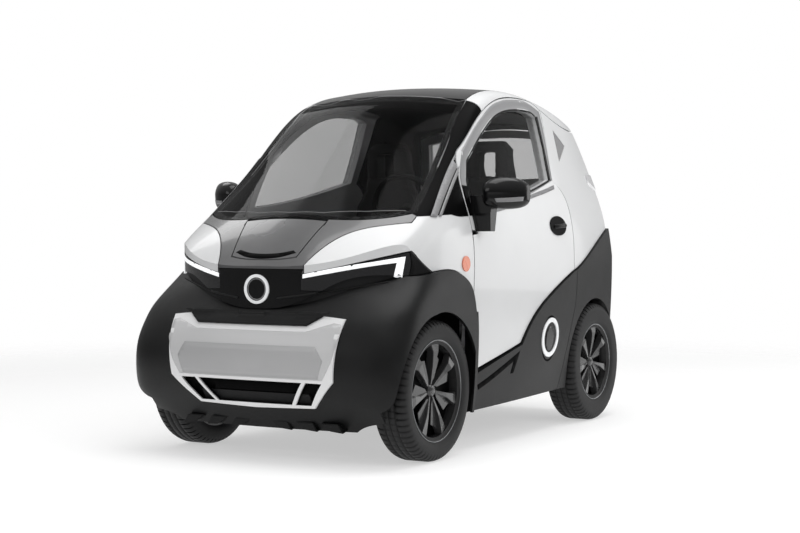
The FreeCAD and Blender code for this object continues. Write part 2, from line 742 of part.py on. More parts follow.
def total(*terms):
    """a sum of sheet names and numbers, as its value now and as a formula"""
    value, formula = 0.0, []
    for term in terms:
        if isinstance(term, str):
            sign = -1.0 if term[0] == "-" else 1.0
            word = term.lstrip("-")
            share = 2.0 if word.endswith("/2") else 1.0
            value += sign * val(word.replace("/2", "")) / share
            formula.append(("- " if sign < 0 else "+ ") + "sizes." + word.replace("/2", " / 2"))
        else:
            value += term
            formula.append(("- " if term < 0 else "+ ") + str(abs(term)))
    return value, "0 " + " ".join(formula)


def profile(body, name, role, pts, lift=0.0):
    """a closed outline; each coordinate is a number or a total of the sheet's sizes"""
    sketch = body.newObject("Sketcher::SketchObject", name)
    sketch.AttachmentSupport = [(plane_of(body, role), "")]
    sketch.MapMode = "FlatFace"
    sketch.AttachmentOffset = FreeCAD.Placement(V(0, 0, lift), FreeCAD.Rotation())
    at = [V(*[c[0] if isinstance(c, tuple) else float(c) for c in p], 0) for p in pts]
    count = len(at)
    for n in range(count):
        sketch.addGeometry(Part.LineSegment(at[n], at[(n + 1) % count]), False)
    for n in range(count):
        sketch.addConstraint(Sketcher.Constraint("Coincident", n, 2, (n + 1) % count, 1))
    for n, p in enumerate(pts):
        for kind, c, value in (("DistanceX", p[0], at[n].x), ("DistanceY", p[1], at[n].y)):
            k = sketch.addConstraint(Sketcher.Constraint(kind, -1, 1, n, 1, value))
            if isinstance(c, tuple):
                sketch.setExpression("Constraints[%d]" % k, c[1])
    return sketch


def new_body(label, at=None, turn=None):
    body = doc.addObject("PartDesign::Body", label)
    body.Label = label
    body.Placement = FreeCAD.Placement(at or V(0, 0, 0), turn or FreeCAD.Rotation())
    return body


def pad(body, sketch, length, both=False, back=False):
    feature = body.newObject("PartDesign::Pad", sketch.Name + "_pad")
    feature.Profile = sketch
    if isinstance(length, tuple):
        feature.Length = length[0]
        feature.setExpression("Length", length[1])
    else:
        feature.Length = length
    feature.Midplane = both
    feature.Reversed = back
    return feature


def turned(body, sketch):
    feature = body.newObject("PartDesign::Revolution", sketch.Name + "_turn")
    feature.Profile = sketch
    feature.ReferenceAxis = (sketch, ["V_Axis"])
    feature.Angle = 360
    return feature


def round_bore(body, name, role, radius, length, lift=0.0):
    """a round hole from a plane of the body, driven by the sheet"""
    sketch = body.newObject("Sketcher::SketchObject", name)
    sketch.AttachmentSupport = [(plane_of(body, role), "")]
    sketch.MapMode = "FlatFace"
    sketch.AttachmentOffset = FreeCAD.Placement(V(0, 0, lift), FreeCAD.Rotation())
    sketch.addGeometry(Part.Circle(V(0, 0, 0), V(0, 0, 1), radius[0]), False)
    sketch.addConstraint(Sketcher.Constraint("Coincident", 0, 3, -1, 1))
    k = sketch.addConstraint(Sketcher.Constraint("Radius", 0, radius[0]))
    sketch.setExpression("Constraints[%d]" % k, radius[1])
    feature = body.newObject("PartDesign::Pocket", name + "_cut")
    feature.Profile = sketch
    feature.Length = length
    feature.Reversed = True
    return feature


# Wheels.
# The sketches lie across the wheel: the radius along X, the width along Z.
RIM_SIDE = 148.0
TO_LEFT = FreeCAD.Rotation(V(1, 0, 0), -90)
TO_RIGHT = FreeCAD.Rotation(V(1, 0, 0), 90)


def tyre_body(label, seat, lip, at, turn):
    body = new_body(label, at, turn)
    half = RIM_SIDE / 2
    low, high = -half + 16, half - 16
    r = "tyre_radius"
    sketch = profile(body, label + "_section", "XZ_Plane", [
        (total(seat), low), (total(lip), low - 5),
        (total(lip, 34), total("-tyre_width/2")), (total(r, -22), total("-tyre_width/2", 2)),
        (total(r, -6), total("-tyre_shoulder")), (total(r), total("-tyre_crown")),
        (total(r), total("tyre_crown")), (total(r, -6), total("tyre_shoulder")),
        (total(r, -22), total("tyre_width/2", -2)), (total(lip, 34), total("tyre_width/2")),
        (total(lip), high + 5), (total(seat), high)])
    turned(body, sketch)
    return body


def rim_body(label, seat, lip, at, turn):
    body = new_body(label, at, turn)
    half = RIM_SIDE / 2
    barrel = profile(body, label + "_barrel", "XZ_Plane", [
        (total(seat, "-rim_wall"), -half), (total(lip), -half), (total(lip), -half + 11),
        (total(seat), -half + 16), (total(seat), half - 16), (total(lip), half - 11),
        (total(lip), half), (total(lip, -5), half), (total(seat, -14), half - 10),
        (total(seat, -16), half - 48), (total(seat, "-rim_wall"), half - 56)])
    turned(body, barrel)
    hub = profile(body, label + "_hub", "XZ_Plane", [
        (0, 14), (total("hub_radius"), 14), (total("hub_radius"), 48),
        (total("hub_radius", -12), 58), (0, 62)])
    turned(body, hub)
    root = profile(body, label + "_root", "YZ_Plane", [
        (-13, 20), (15, 20), (9, 50), (-7, 50)], 30.0)
    reach = val(seat) - 12.0
    tip = profile(body, label + "_tip", "YZ_Plane", [
        (total("spoke_sweep", "-spoke_foot/2"), 26), (total("spoke_sweep", "spoke_foot/2"), 26),
        (total("spoke_sweep", "spoke_ridge/2"), total("spoke_face")),
        (total("spoke_sweep", "-spoke_ridge/2"), total("spoke_face"))], reach)
    tip.setExpression("AttachmentOffset.Base.z", "sizes.%s - 12" % seat)
    spoke = body.newObject("PartDesign::AdditiveLoft", label + "_spoke")
    spoke.Profile = root
    spoke.Sections = [tip]
    spoke.Ruled = True
    # the broad lower facet beside each ridge
    facet = profile(body, label + "_blade", "XY_Plane", [
        (30, -4), (total(seat, "-blade_gap"), 8), (total(seat, "-blade_gap", 2), -18),
        (total(seat, "-blade_gap", -28), total("-" + seat + "/2", 31)), (40, -16)],
        val("blade_face") - val("blade_thick"))
    facet.setExpression("AttachmentOffset.Base.z", "sizes.blade_face - sizes.blade_thick")
    blade = pad(body, facet, total("blade_thick"))
    ring = body.newObject("PartDesign::PolarPattern", label + "_spokes")
    ring.Originals = [spoke, blade]
    ring.Axis = (barrel, ["V_Axis"])
    ring.Angle = 360
    ring.Occurrences = int(val("spoke_count"))
    ring.setExpression("Occurrences", "sizes.spoke_count")
    body.Tip = ring
    round_bore(body, label + "_bore", "XY_Plane", total("hub_bore"), 60, -10.0)
    return body


front_at = V(val("front_axle_x"), val("wheel_y"), val("tyre_radius"))
rear_at = V(rear_axle_x, val("wheel_y"), val("tyre_radius"))
for spot, at, seat, lip in (("front", front_at, "rim_seat", "rim_lip"),
                            ("rear", rear_at, "rim_seat_rear", "rim_lip_rear")):
    for hand, sign, turn in (("left", 1, TO_LEFT), ("right", -1, TO_RIGHT)):
        place = V(at.x, sign * at.y, at.z)
        name = "%s_%s" % (spot, hand)
        keep(tyre_body("tyre_" + name, seat, lip, place, turn))
        keep(rim_body("rim_" + name, seat, lip, place, turn))

# Steering knuckle: king pin, carrier, stub axle and steering arm.
king, axle_z, wheel_y = val("king_y"), val("tyre_radius"), val("wheel_y")
fx = val("front_axle_x")
knuckle = keep(fuse("knuckle_left", [
    rod("king_pin", 16, 190, V(fx, king, axle_z - 97), V(0, 0, 1)),
    box("carrier", fx - 32, king - 20, axle_z - 50, 64, 46, 100),
    rod("stub_axle", 17, wheel_y - king + 48, V(fx, king, axle_z), V(0, 1, 0),
        {"Radius": "sizes.hub_bore - 1"}),
    box("arm_root", fx, king - 48, axle_z - 20, 60, 50, 26),
    box("arm", fx + 50, king - 48, axle_z - 20, 90, 16, 26)]))
keep(mirrored("knuckle_right", knuckle))

# Front suspension: two arms and a spring leg on each side, on a tower of the frame.
rail_out = val("rail_y") + val("rail_width") / 2


def ring_end(label, z, start):
    """the eye of an arm around the king pin"""
    outer_ring = rod(label + "_eye", 32, 24, V(fx, king, z), V(0, 0, 1))
    hole = rod(label + "_hole", 17, 40, V(fx, king, z - 8), V(0, 0, 1))
    arm = box(label + "_bar", fx - 20, start, z, 40, king - start - 28, 24)
    return cut(label, fuse(label + "_solid", [outer_ring, arm]), hole)


tower_y = val("well_inner_y")
leg = fuse("suspension_leg", [
    ring_end("lower_arm", axle_z - 88, rail_out), ring_end("upper_arm", axle_z + 66, tower_y),
    box("tower_foot", fx - 30, rail_out, val("rail_top") - 50, 60, tower_y + 40 - rail_out, 50),
    box("tower", fx - 30, tower_y, val("rail_top") - 50, 60, 40, 352),
    strut("spring", 26, V(fx, 425, axle_z - 75), V(fx, 352, 545)),
    box("spring_top", fx - 30, tower_y, 530, 60, 80, 22)])
keep(group("front_suspension", [leg, mirrored("suspension_leg_right", leg)]))
rack_z = val("rail_top") + 18
keep(fuse("steering_rack", [rod("rack", 18, 560, V(fx + 125, -280, rack_z), V(0, 1, 0)),
                            box("rack_hold", fx + 100, -50, rack_z - 26, 50, 100, 56),
                            box("rack_foot_l", fx + 105, 240, rack_z - 18, 40, 30, 12),
                            box("rack_foot_r", fx + 105, -270, rack_z - 18, 40, 30, 12)]))

# Rear axle beam with stub axles and trailing arms.
rx = rear_axle_x
beam = [rod("beam", 32, 880, V(rx, -440, axle_z), V(0, 1, 0)),
        rod("stub_rear", 17, 2 * (wheel_y + 48), V(rx, -wheel_y - 48, axle_z), V(0, 1, 0),
            {"Radius": "sizes.hub_bore - 1"})]
for sign in (1, -1):
    mid = sign * 340
    beam.append(box("trailing_%d" % sign, rx, mid - 22, axle_z - 22, -592 - rx, 44, 44))
    beam.append(box("trailing_foot_%d" % sign, -640, mid - 22, val("rail_top"), 48, 44, 40))
    beam.append(rod("rear_spring_%d" % sign, 34, 335, V(rx, mid, axle_z + 20), V(0, 0, 1)))
keep(fuse("rear_axle", beam))

# Chassis: rails, cross members and outriggers.
low, tall = val("rail_low"), val("rail_top") - val("rail_low")
bars = []
for sign in (1, -1):
    y = sign * val("rail_y") - val("rail_width") / 2
    bars.append(box("rail_%d" % sign, -val("rail_rear"), y, low,
                    val("rail_rear") + val("rail_front"), val("rail_width"), tall))
for n, (x, reach) in enumerate([(940, 285), (385, 285), (-640, 380), (-1075, 420)]):
    bars.append(box("cross_%d" % n, x, -reach, low, 45, 2 * reach, tall))
for n, x in enumerate([320, -560]):
    bars.append(box("outrigger_%d" % n, x, -620, low + 5, 45, 1240, tall - 5))
ladder = common("ladder", [fuse("ladder_bars", bars), inner])
nose_beam = common("nose_beam", [box("beam_box", 960, -260, 228, 300, 520, 60), bumper_inner])
keep(fuse("chassis", [ladder, nose_beam]))

# Floor, footwell and wheel houses.
fz, ft, wy = val("floor_z"), val("floor_thick"), val("well_inner_y")
plates = [box("floor_main", -592, -620, fz, 964, 1240, ft),
          box("floor_front", 360, -wy, fz, 380, 2 * wy, ft),
          box("toe_board", 728, -wy, fz, 12, 2 * wy, 370),
          box("bulkhead", 728, -620, 612, 12, 1240, 290),
          box("rear_wall", -592, -620, fz, 12, 1240, 402),
          box("boot_floor", -1300, -620, 640, 720, 1240, 12),
          box("boot_mat", -1030, -400, 640, 400, 800, 16)]
for sign in (1, -1):
    a = wy - ft if sign > 0 else -wy
    plates.append(box("foot_side_%d" % sign, 360, a, fz, 380, ft, 374))
    b = wy - ft if sign > 0 else -620
    inward = wy - ft if sign > 0 else -535
    plates.append(box("corner_wall_%d" % sign, 360, inward, fz, 12, 535 - wy + ft, 374))
    plates.append(box("corner_shelf_%d" % sign, 360, inward, 612, 30, 535 - wy + ft, ft))
    plates.append(box("wheel_shelf_%d" % sign, 385, b, 612, 355, 620 - wy + ft, ft))
    c = 432 if sign > 0 else -444
    plates.append(box("rear_side_%d" % sign, -1180, c, 330, 600, 12, 322))
keep(common("floor_pan", [fuse("floor_plates", plates), inner]))
keep(box("battery", -480, -440, fz + ft, 470, 880, 138))

# Seats: one body each, side outline padded, head rest opening through it.


SEAT_SIDE = [(30, 400), (45, 470), (20, 520), (-90, 512), (-300, 500), (-352, 545), (-400, 900),
             (-415, 1010), (-392, 1150), (-385, 1335), (-412, 1368), (-450, 1366), (-480, 1335),
             (-492, 1150), (-560, 980), (-530, 420), (-480, 400)]
SEAT_FRONT = [(205, 400), (218, 480), (212, 900), (196, 1040), (150, 1110), (122, 1190),
              (112, 1320), (84, 1366), (0, 1375)]
points("seat_side", SEAT_SIDE)
points("seat_front", SEAT_FRONT)
doc.recompute()


def seat_body(label, y):
    """side outline across the seat, its front outline, and the head rest's opening"""
    side_pts = read_points("seat_side", len(SEAT_SIDE))
    front = read_points("seat_front", len(SEAT_FRONT))
    face = Part.Face(Part.makePolygon([V(a, y - 240, b) for a, b in side_pts + side_pts[:1]]))
    across_seat = solid_node(label + "_across", face.extrude(V(0, 480, 0)))
    ring = [V(-700, y + a, b) for a, b in front] + [V(-700, y - a, b) for a, b in front[-2::-1]]
    outline = Part.Face(Part.makePolygon(ring + ring[:1]))
    along_seat = solid_node(label + "_along", outline.extrude(V(900, 0, 0)))
    whole = common(label + "_whole", [across_seat, along_seat])
    return cut(label, whole, box(label + "_opening", -700, y - 42, 1195, 500, 84, 105))


keep(seat_body("seat_left", 275))
keep(seat_body("seat_right", -275))

# Dashboard and steering.
board = [[(728, 624), (728, 905)], [(728, 905), (560, 985)], [(560, 985), (440, 965)],
         [(440, 965), (405, 880)], [(405, 880), (470, 790)], [(470, 790), (560, 624)],
         [(560, 624), (728, 624)]]
board_face = closed_face(board, lambda a, b: V(a, -620, b))
board_bar = solid_node("board_bar", board_face.extrude(V(0, 1240, 0)))
board_whole = common("dashboard_whole", [board_bar, inner])
lean = V(-math.cos(math.radians(25)), 0, math.sin(math.radians(25)))
wheel_mid = V(330, 275, 1010)
ring_line = doc.addObject("Part::RegularPolygon", "wheel_ring_section")
ring_line.Polygon, ring_line.Circumradius = 8, 13
ring_line.Placement = FreeCAD.Placement(V(165, 0, 0), FreeCAD.Rotation(V(1, 0, 0), 90))
ring = doc.addObject("Part::Revolution", "wheel_ring")
ring.Source, ring.Axis, ring.Base, ring.Angle, ring.Solid = ring_line, V(0, 0, 1), V(0, 0, 0), 360, True
ring.Placement = FreeCAD.Placement(wheel_mid, FreeCAD.Rotation(V(0, 0, 1), lean))
across = V(0, 1, 0)
down = lean.cross(across)
hub_at = wheel_mid - lean * 20
keep(fuse("steering_wheel", [
    ring, rod("wheel_hub", 38, 34, wheel_mid - lean * 30, lean),
    strut("wheel_spoke_1", 9, wheel_mid - lean * 8, wheel_mid + across * 165),
    strut("wheel_spoke_2", 9, wheel_mid - lean * 8, wheel_mid - across * 165),
    strut("wheel_spoke_3", 9, wheel_mid - lean * 8, wheel_mid + down * 165),
    strut("column_shaft", 11, wheel_mid - lean * 25, wheel_mid - lean * 110)]))
column_from, column_to = wheel_mid - lean * 68, wheel_mid - lean * 190
keep(cut("steering_column", strut("column_tube", 30, column_from, column_to),
         strut("column_bore", 12, column_from + lean, wheel_mid - lean * 116)))
keep(cut("dashboard", board_whole, strut("column_room", 30, column_from, column_to)))

# Door mirrors.
MIRROR = [  # across the car: y, middle x, middle z, half depth, half height
    (636, 322, 1082, 22, 30), (655, 318, 1084, 48, 56), (700, 303, 1085, 60, 67),
    (755, 276, 1084, 56, 64), (790, 252, 1082, 38, 48), (802, 244, 1081, 14, 22)]
for n, values in enumerate(MIRROR):
    for word, value in zip(("y", "x", "z", "deep", "tall"), values):
        cell("mirror%d_%s" % (n, word), value)
doc.recompute()


def mirror_shell():
    """housing through rounded sections, with its flat glass side to the rear"""
    rings = []
    for n in range(len(MIRROR)):
        y, x, z, deep, tall = [val("mirror%d_%s" % (n, w)) for w in ("y", "x", "z", "deep", "tall")]
        line = Part.BSplineCurve()
        line.interpolate([V(x + deep * math.copysign(abs(math.cos(a)) ** 0.8, math.cos(a)), y,
                            z + tall * math.copysign(abs(math.sin(a)) ** 0.8, math.sin(a)))
                          for a in [k * math.pi / 6 for k in range(12)]], True)
        rings.append(Part.Wire(line.toShape()))
    return Part.makeLoft(rings, True, False)


mirror_body = solid_node("mirror_body", mirror_shell())
glass_turn, glass_at = 24, V(283, 655, 900)
glass_side = V(math.cos(math.radians(glass_turn)), math.sin(math.radians(glass_turn)), 0)
glass_plane = box("mirror_back", 0, 0, 0, 200, 400, 400)
glass_plane.Placement = FreeCAD.Placement(
    glass_at - glass_side * 200 - V(-glass_side.y, glass_side.x, 0) * 100,
    FreeCAD.Rotation(V(0, 0, 1), glass_turn))
mirror_housing = cut("mirror_housing", mirror_body, glass_plane)
foot_line = closed_face([[(352, 925), (354, 1000)], [(354, 1000), (330, 1075)],
                         [(330, 1075), (285, 1060)], [(285, 1060), (296, 1000), (312, 925)],
                         [(312, 925), (352, 925)]], lambda a, b: V(a, 560, b))
mirror_foot = solid_node("mirror_foot", foot_line.extrude(V(0, 118, 0)))
mirror_arm = cut("mirror_arm", mirror_foot, solid_node("mirror_seat", body_solid(-val("mirror_gap"))))
keep(fuse("mirror_left", [mirror_housing, mirror_arm]))
keep(mirrored("mirror_right", nodes[-1]))

# Trim that stands a little proud of the panels.
proud = val("proud")
trim_layer = cut("trim_layer", solid_node("trim_out", body_solid(-proud)), outer)
ring_layer = cut("ring_layer", solid_node("ring_out", body_solid(-clad - proud)), cladding)
emblem_ring = cut("emblem_tube", rod("emblem_disc", 59, 44, V(1040, 0, 696), V(1, 0, 0)),
                  rod("emblem_hole", 47, 80, V(1030, 0, 696), V(1, 0, 0)))
keep(cut("emblem_ring", emblem_ring, outer))


def oval(label, x, z, wide, tall):
    """a flat oval bar across the left side"""
    bar = doc.addObject("Part::Ellipse", label + "_edge")
    bar.MajorRadius, bar.MinorRadius = wide / 2.0, tall / 2.0
    bar.Placement = FreeCAD.Placement(V(x, 400, z), FreeCAD.Rotation(V(1, 0, 0), 90))
    block = doc.addObject("Part::Extrusion", label)
    block.Base = bar
    block.Dir = V(0, 1, 0)
    block.LengthFwd = 400
    block.Solid = True
    return block


marker = common("marker_left", [trim_layer, oval("marker_oval", 457, 791, 66, 64)])
keep(group("side_markers", [marker, mirrored("marker_right", marker)]))
port = common("port_ring_left", [ring_layer, cut("port_tube", oval("port_disc", -363, 437, 180, 180),
                                                 oval("port_hole", -363, 437, 140, 140))])
keep(group("port_rings", [port, mirrored("port_ring_right", port)]))
handle = keep(common("door_handle_left", [trim_layer, oval("handle_oval", -470, 948, 180, 90)]))
keep(mirrored("door_handle_right", handle))
tail = common("tail_lamp_left", [trim_layer, box("tail_box", -1300, 462, 960, 300, 70, 240)])
keep(group("tail_lamps", [tail, mirrored("tail_lamp_right", tail)]))

frame_x = 24.5
shift = FreeCAD.Placement(V(frame_x, 0, 0), FreeCAD.Rotation())


def write_out():
    doc.recompute()
    for piece in nodes:
        # a mirror image moves with its source
        if piece.TypeId != "Part::Mirroring":
            piece.Placement = shift.multiply(piece.Placement)
    doc.recompute()
    bad = [o.Name for o in doc.Objects if "Invalid" in o.State or "Error" in o.State]
    if bad:
        raise RuntimeError("not built: %s" % bad)
    os.makedirs("parts", exist_ok=True)
    for piece in nodes:
        shape = piece.Shape
        if shape.isNull() or not shape.isValid():
            raise RuntimeError("bad shape: " + piece.Label)
        print(piece.Label, len(shape.Solids), len(shape.Faces), round(shape.Volume / 1e3))
        shape.exportStep("parts/%s.step" % piece.Label)


write_out()
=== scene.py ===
import math
import bpy
import bmesh
from mathutils import Matrix, Vector
from mathutils.bvhtree import BVHTree


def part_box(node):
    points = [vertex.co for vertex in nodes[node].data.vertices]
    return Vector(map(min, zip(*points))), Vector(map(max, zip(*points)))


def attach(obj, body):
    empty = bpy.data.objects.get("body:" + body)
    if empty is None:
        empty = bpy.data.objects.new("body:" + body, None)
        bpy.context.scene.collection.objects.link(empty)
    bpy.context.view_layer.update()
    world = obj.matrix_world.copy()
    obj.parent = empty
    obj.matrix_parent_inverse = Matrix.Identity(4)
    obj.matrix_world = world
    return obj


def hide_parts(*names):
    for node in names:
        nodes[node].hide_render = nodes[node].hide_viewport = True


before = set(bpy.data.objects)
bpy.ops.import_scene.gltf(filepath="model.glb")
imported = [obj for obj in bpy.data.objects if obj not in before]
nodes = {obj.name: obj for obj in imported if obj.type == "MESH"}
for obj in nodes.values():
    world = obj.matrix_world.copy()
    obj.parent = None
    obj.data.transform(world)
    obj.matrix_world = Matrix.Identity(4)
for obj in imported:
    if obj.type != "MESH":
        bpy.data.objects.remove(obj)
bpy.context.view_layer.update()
print("frame loaded:", len(nodes), "nodes")


def linked(name, data):
    # a new object of the scene
    item = bpy.data.objects.new(name, data)
    bpy.context.scene.collection.objects.link(item)
    return item


def meshFrom(work, name):
    mesh = bpy.data.meshes.new(name)
    work.to_mesh(mesh)
    work.free()
    return mesh


def evaluated(holder):
    # the object's shape with its modifiers or bevel, as a mesh
    graph = bpy.context.evaluated_depsgraph_get()
    return bpy.data.meshes.new_from_object(holder.evaluated_get(graph))


# The camera stands where the photograph was taken from.
cameraPlace = {"location": (6.3255, 3.6756, 0.9526), "yaw": 210.0, "pitch": -1.5, "lens": 71.67,
               "sensor": 36.0}
camera = linked("camera", bpy.data.cameras.new("camera"))
camera.data.lens = cameraPlace["lens"]
camera.data.sensor_width = cameraPlace["sensor"]
yaw, pitch = math.radians(cameraPlace["yaw"]), math.radians(cameraPlace["pitch"])
look = Vector((math.cos(yaw) * math.cos(pitch), math.sin(yaw) * math.cos(pitch), math.sin(pitch)))
camera.location = cameraPlace["location"]
camera.rotation_euler = look.to_track_quat("-Z", "Y").to_euler()
bpy.context.scene.camera = camera
bpy.context.scene.view_settings.view_transform = "Standard"


# Materials
noiseSizes = {"broad": 3.0, "peel": 420.0, "mould": 5.0, "glass": 2.0, "strip": 60.0,
              "detail": 4.0, "glossLow": 0.3, "glossHigh": 0.7, "tintLow": 0.35,
              "tintHigh": 0.65}


def newMaterial(name):
    material = bpy.data.materials.new(name)
    material.use_nodes = True
    tree = material.node_tree
    shader = tree.nodes["Principled BSDF"]
    return material, tree, shader


def objectNoise(tree, scale, detail=noiseSizes["detail"]):
    # noise on the part's own coordinates, so that it stays put in every pose
    coordinates = tree.nodes.new("ShaderNodeTexCoord")
    noise = tree.nodes.new("ShaderNodeTexNoise")
    noise.inputs["Scale"].default_value = scale
    noise.inputs["Detail"].default_value = detail
    tree.links.new(coordinates.outputs["Object"], noise.inputs["Vector"])
    return noise


def spread(tree, source, low, high):
    # maps a 0 to 1 value on a narrow range
    ramp = tree.nodes.new("ShaderNodeMapRange")
    ramp.inputs["From Min"].default_value = noiseSizes["glossLow"]
    ramp.inputs["From Max"].default_value = noiseSizes["glossHigh"]
    ramp.inputs["To Min"].default_value = low
    ramp.inputs["To Max"].default_value = high
    tree.links.new(source, ramp.inputs["Value"])
    return ramp.outputs["Result"]


def tint(tree, source, dark, light):
    ramp = tree.nodes.new("ShaderNodeValToRGB")
    ramp.color_ramp.elements[0].position = noiseSizes["tintLow"]
    ramp.color_ramp.elements[1].position = noiseSizes["tintHigh"]
    ramp.color_ramp.elements[0].color = (*dark, 1)
    ramp.color_ramp.elements[1].color = (*light, 1)
    tree.links.new(source, ramp.inputs["Fac"])
    return ramp.outputs["Color"]


def bump(tree, shader, source, strength, distance):
    node = tree.nodes.new("ShaderNodeBump")
    node.inputs["Strength"].default_value = strength
    node.inputs["Distance"].default_value = distance
    tree.links.new(source, node.inputs["Height"])
    tree.links.new(node.outputs["Normal"], shader.inputs["Normal"])


def paint(name, dark, light, rough, coat=0.0, metallic=0.0, peel=0.02, shine=0.5):
    # smooth lacquer: slight colour and gloss variation and orange peel
    material, tree, shader = newMaterial(name)
    broad = objectNoise(tree, noiseSizes["broad"])
    fine = objectNoise(tree, noiseSizes["peel"], 2.0)
    tree.links.new(tint(tree, broad.outputs["Fac"], dark, light), shader.inputs["Base Color"])
    tree.links.new(spread(tree, broad.outputs["Fac"], rough * 0.9, rough * 1.1),
                   shader.inputs["Roughness"])
    shader.inputs["Metallic"].default_value = metallic
    shader.inputs["Specular IOR Level"].default_value = shine
    shader.inputs["Coat Weight"].default_value = coat
    shader.inputs["Coat Roughness"].default_value = 0.06
    bump(tree, shader, fine.outputs["Fac"], peel, 0.0004)
    return material


def plastic(name, dark, light, rough, grain=0.25, size=1400.0, shine=0.3):
    # moulded plastic with a fine leather-like grain
    material, tree, shader = newMaterial(name)
    broad = objectNoise(tree, noiseSizes["mould"])
    coordinates = tree.nodes.new("ShaderNodeTexCoord")
    cells = tree.nodes.new("ShaderNodeTexVoronoi")
    cells.inputs["Scale"].default_value = size
    tree.links.new(coordinates.outputs["Object"], cells.inputs["Vector"])
    tree.links.new(tint(tree, broad.outputs["Fac"], dark, light), shader.inputs["Base Color"])
    tree.links.new(spread(tree, broad.outputs["Fac"], rough - 0.04, rough + 0.04),
                   shader.inputs["Roughness"])
    shader.inputs["Specular IOR Level"].default_value = shine
    bump(tree, shader, cells.outputs["Distance"], grain, 0.0006)
    return material


def glassPane(name, shade, clear):
    # thin tinted pane: what passes through, and the reflection on its face
    material, tree, shader = newMaterial(name)
    through = tree.nodes.new("ShaderNodeBsdfTransparent")
    through.inputs["Color"].default_value = (*clear, 1)
    mix = tree.nodes.new("ShaderNodeMixShader")
    fresnel = tree.nodes.new("ShaderNodeFresnel")
    fresnel.inputs["IOR"].default_value = 1.5
    noise = objectNoise(tree, noiseSizes["glass"])
    tree.links.new(tint(tree, noise.outputs["Fac"], shade, [c * 1.15 for c in shade]),
                   shader.inputs["Base Color"])
    shader.inputs["Roughness"].default_value = 0.02
    tree.links.new(fresnel.outputs["Fac"], mix.inputs["Fac"])
    tree.links.new(through.outputs["BSDF"], mix.inputs[1])
    tree.links.new(shader.outputs["BSDF"], mix.inputs[2])
    # the pane's far face lets everything out, so that the tint counts once
    side = tree.nodes.new("ShaderNodeNewGeometry")
    leaving = tree.nodes.new("ShaderNodeBsdfTransparent")
    both = tree.nodes.new("ShaderNodeMixShader")
    tree.links.new(side.outputs["Backfacing"], both.inputs["Fac"])
    tree.links.new(mix.outputs["Shader"], both.inputs[1])
    tree.links.new(leaving.outputs["BSDF"], both.inputs[2])
    tree.links.new(both.outputs["Shader"], tree.nodes["Material Output"].inputs["Surface"])
    return material


def litStrip(name, colour, glow):
    material, tree, shader = newMaterial(name)
    noise = objectNoise(tree, noiseSizes["strip"])
    tree.links.new(tint(tree, noise.outputs["Fac"], [c * 0.93 for c in colour], colour),
                   shader.inputs["Base Color"])
    shader.inputs["Roughness"].default_value = 0.25
    shader.inputs["Emission Color"].default_value = (*colour, 1)
    shader.inputs["Emission Strength"].default_value = glow
    return material


def paleEnds(material, start, colour):
    # another colour on both ends of a lens, past that distance from the middle
    tree = material.node_tree
    place = tree.nodes.new("ShaderNodeTexCoord")
    axes = tree.nodes.new("ShaderNodeSeparateXYZ")
    reach = tree.nodes.new("ShaderNodeMath")
    reach.operation = "ABSOLUTE"
    edge = tree.nodes.new("ShaderNodeMath")
    edge.operation = "GREATER_THAN"
    edge.inputs[1].default_value = start
    mix = tree.nodes.new("ShaderNodeMix")
    mix.data_type = "RGBA"
    mix.inputs["B"].default_value = (*colour, 1)
    base = tree.nodes["Principled BSDF"].inputs["Base Color"]
    tree.links.new(base.links[0].from_socket, mix.inputs["A"])
    tree.links.new(place.outputs["Object"], axes.inputs["Vector"])
    tree.links.new(axes.outputs["Y"], reach.inputs[0])
    tree.links.new(reach.outputs["Value"], edge.inputs[0])
    tree.links.new(edge.outputs["Value"], mix.inputs["Factor"])
    tree.links.new(mix.outputs["Result"], base)


whitePaint = paint("whitePaint", (.645, .65, .655), (.675, .68, .685), 0.30, coat=0.4)
frameGrey = paint("frameGrey", (.21, .21, .214), (.24, .24, .245), 0.36, coat=0.2)
stripBlack = paint("stripBlack", (.002, .002, .0021), (.003, .003, .0031), 0.35, shine=0.02)
bumperPlastic = plastic("bumperPlastic", (.0050, .0051, .0053), (.0070, .0071, .0074), 0.36,
                        shine=0.20)
gloveBlack = paint("gloveBlack", (.003, .003, .0033), (.005, .005, .0054), 0.18, coat=0.2,
                   shine=0.25)
bonnetPaint = paint("bonnetPaint", (.066, .066, .068), (.082, .082, .084), 0.26, coat=0.5)
facePanel = paint("facePanel", (.74, .74, .745), (.78, .78, .785), 0.36, coat=0.2)
# faceShadeMid and faceShadeDeep: the face panel's grey made darker on facets, as light falls on
# them: painted shade
faceShadeMid = paint("faceShadeMid", (.50, .50, .505), (.54, .54, .545), 0.42, coat=0.1)
faceShadeDeep = paint("faceShadeDeep", (.37, .37, .375), (.40, .40, .405), 0.42, coat=0.1)
screenGlass = glassPane("screenGlass", (.002, .002, .0022), (.52, .52, .52))
sideGlass = glassPane("sideGlass", (.004, .004, .0045), (.70, .70, .70))
rearGlass = glassPane("rearGlass", (.003, .003, .0032), (.66, .66, .66))
sealBlack = plastic("sealBlack", (.004, .004, .0042), (.006, .006, .0062), 0.55, shine=0.2)
lineBlack = plastic("lineBlack", (.002, .002, .0021), (.003, .003, .0031), 0.8, shine=0.05)
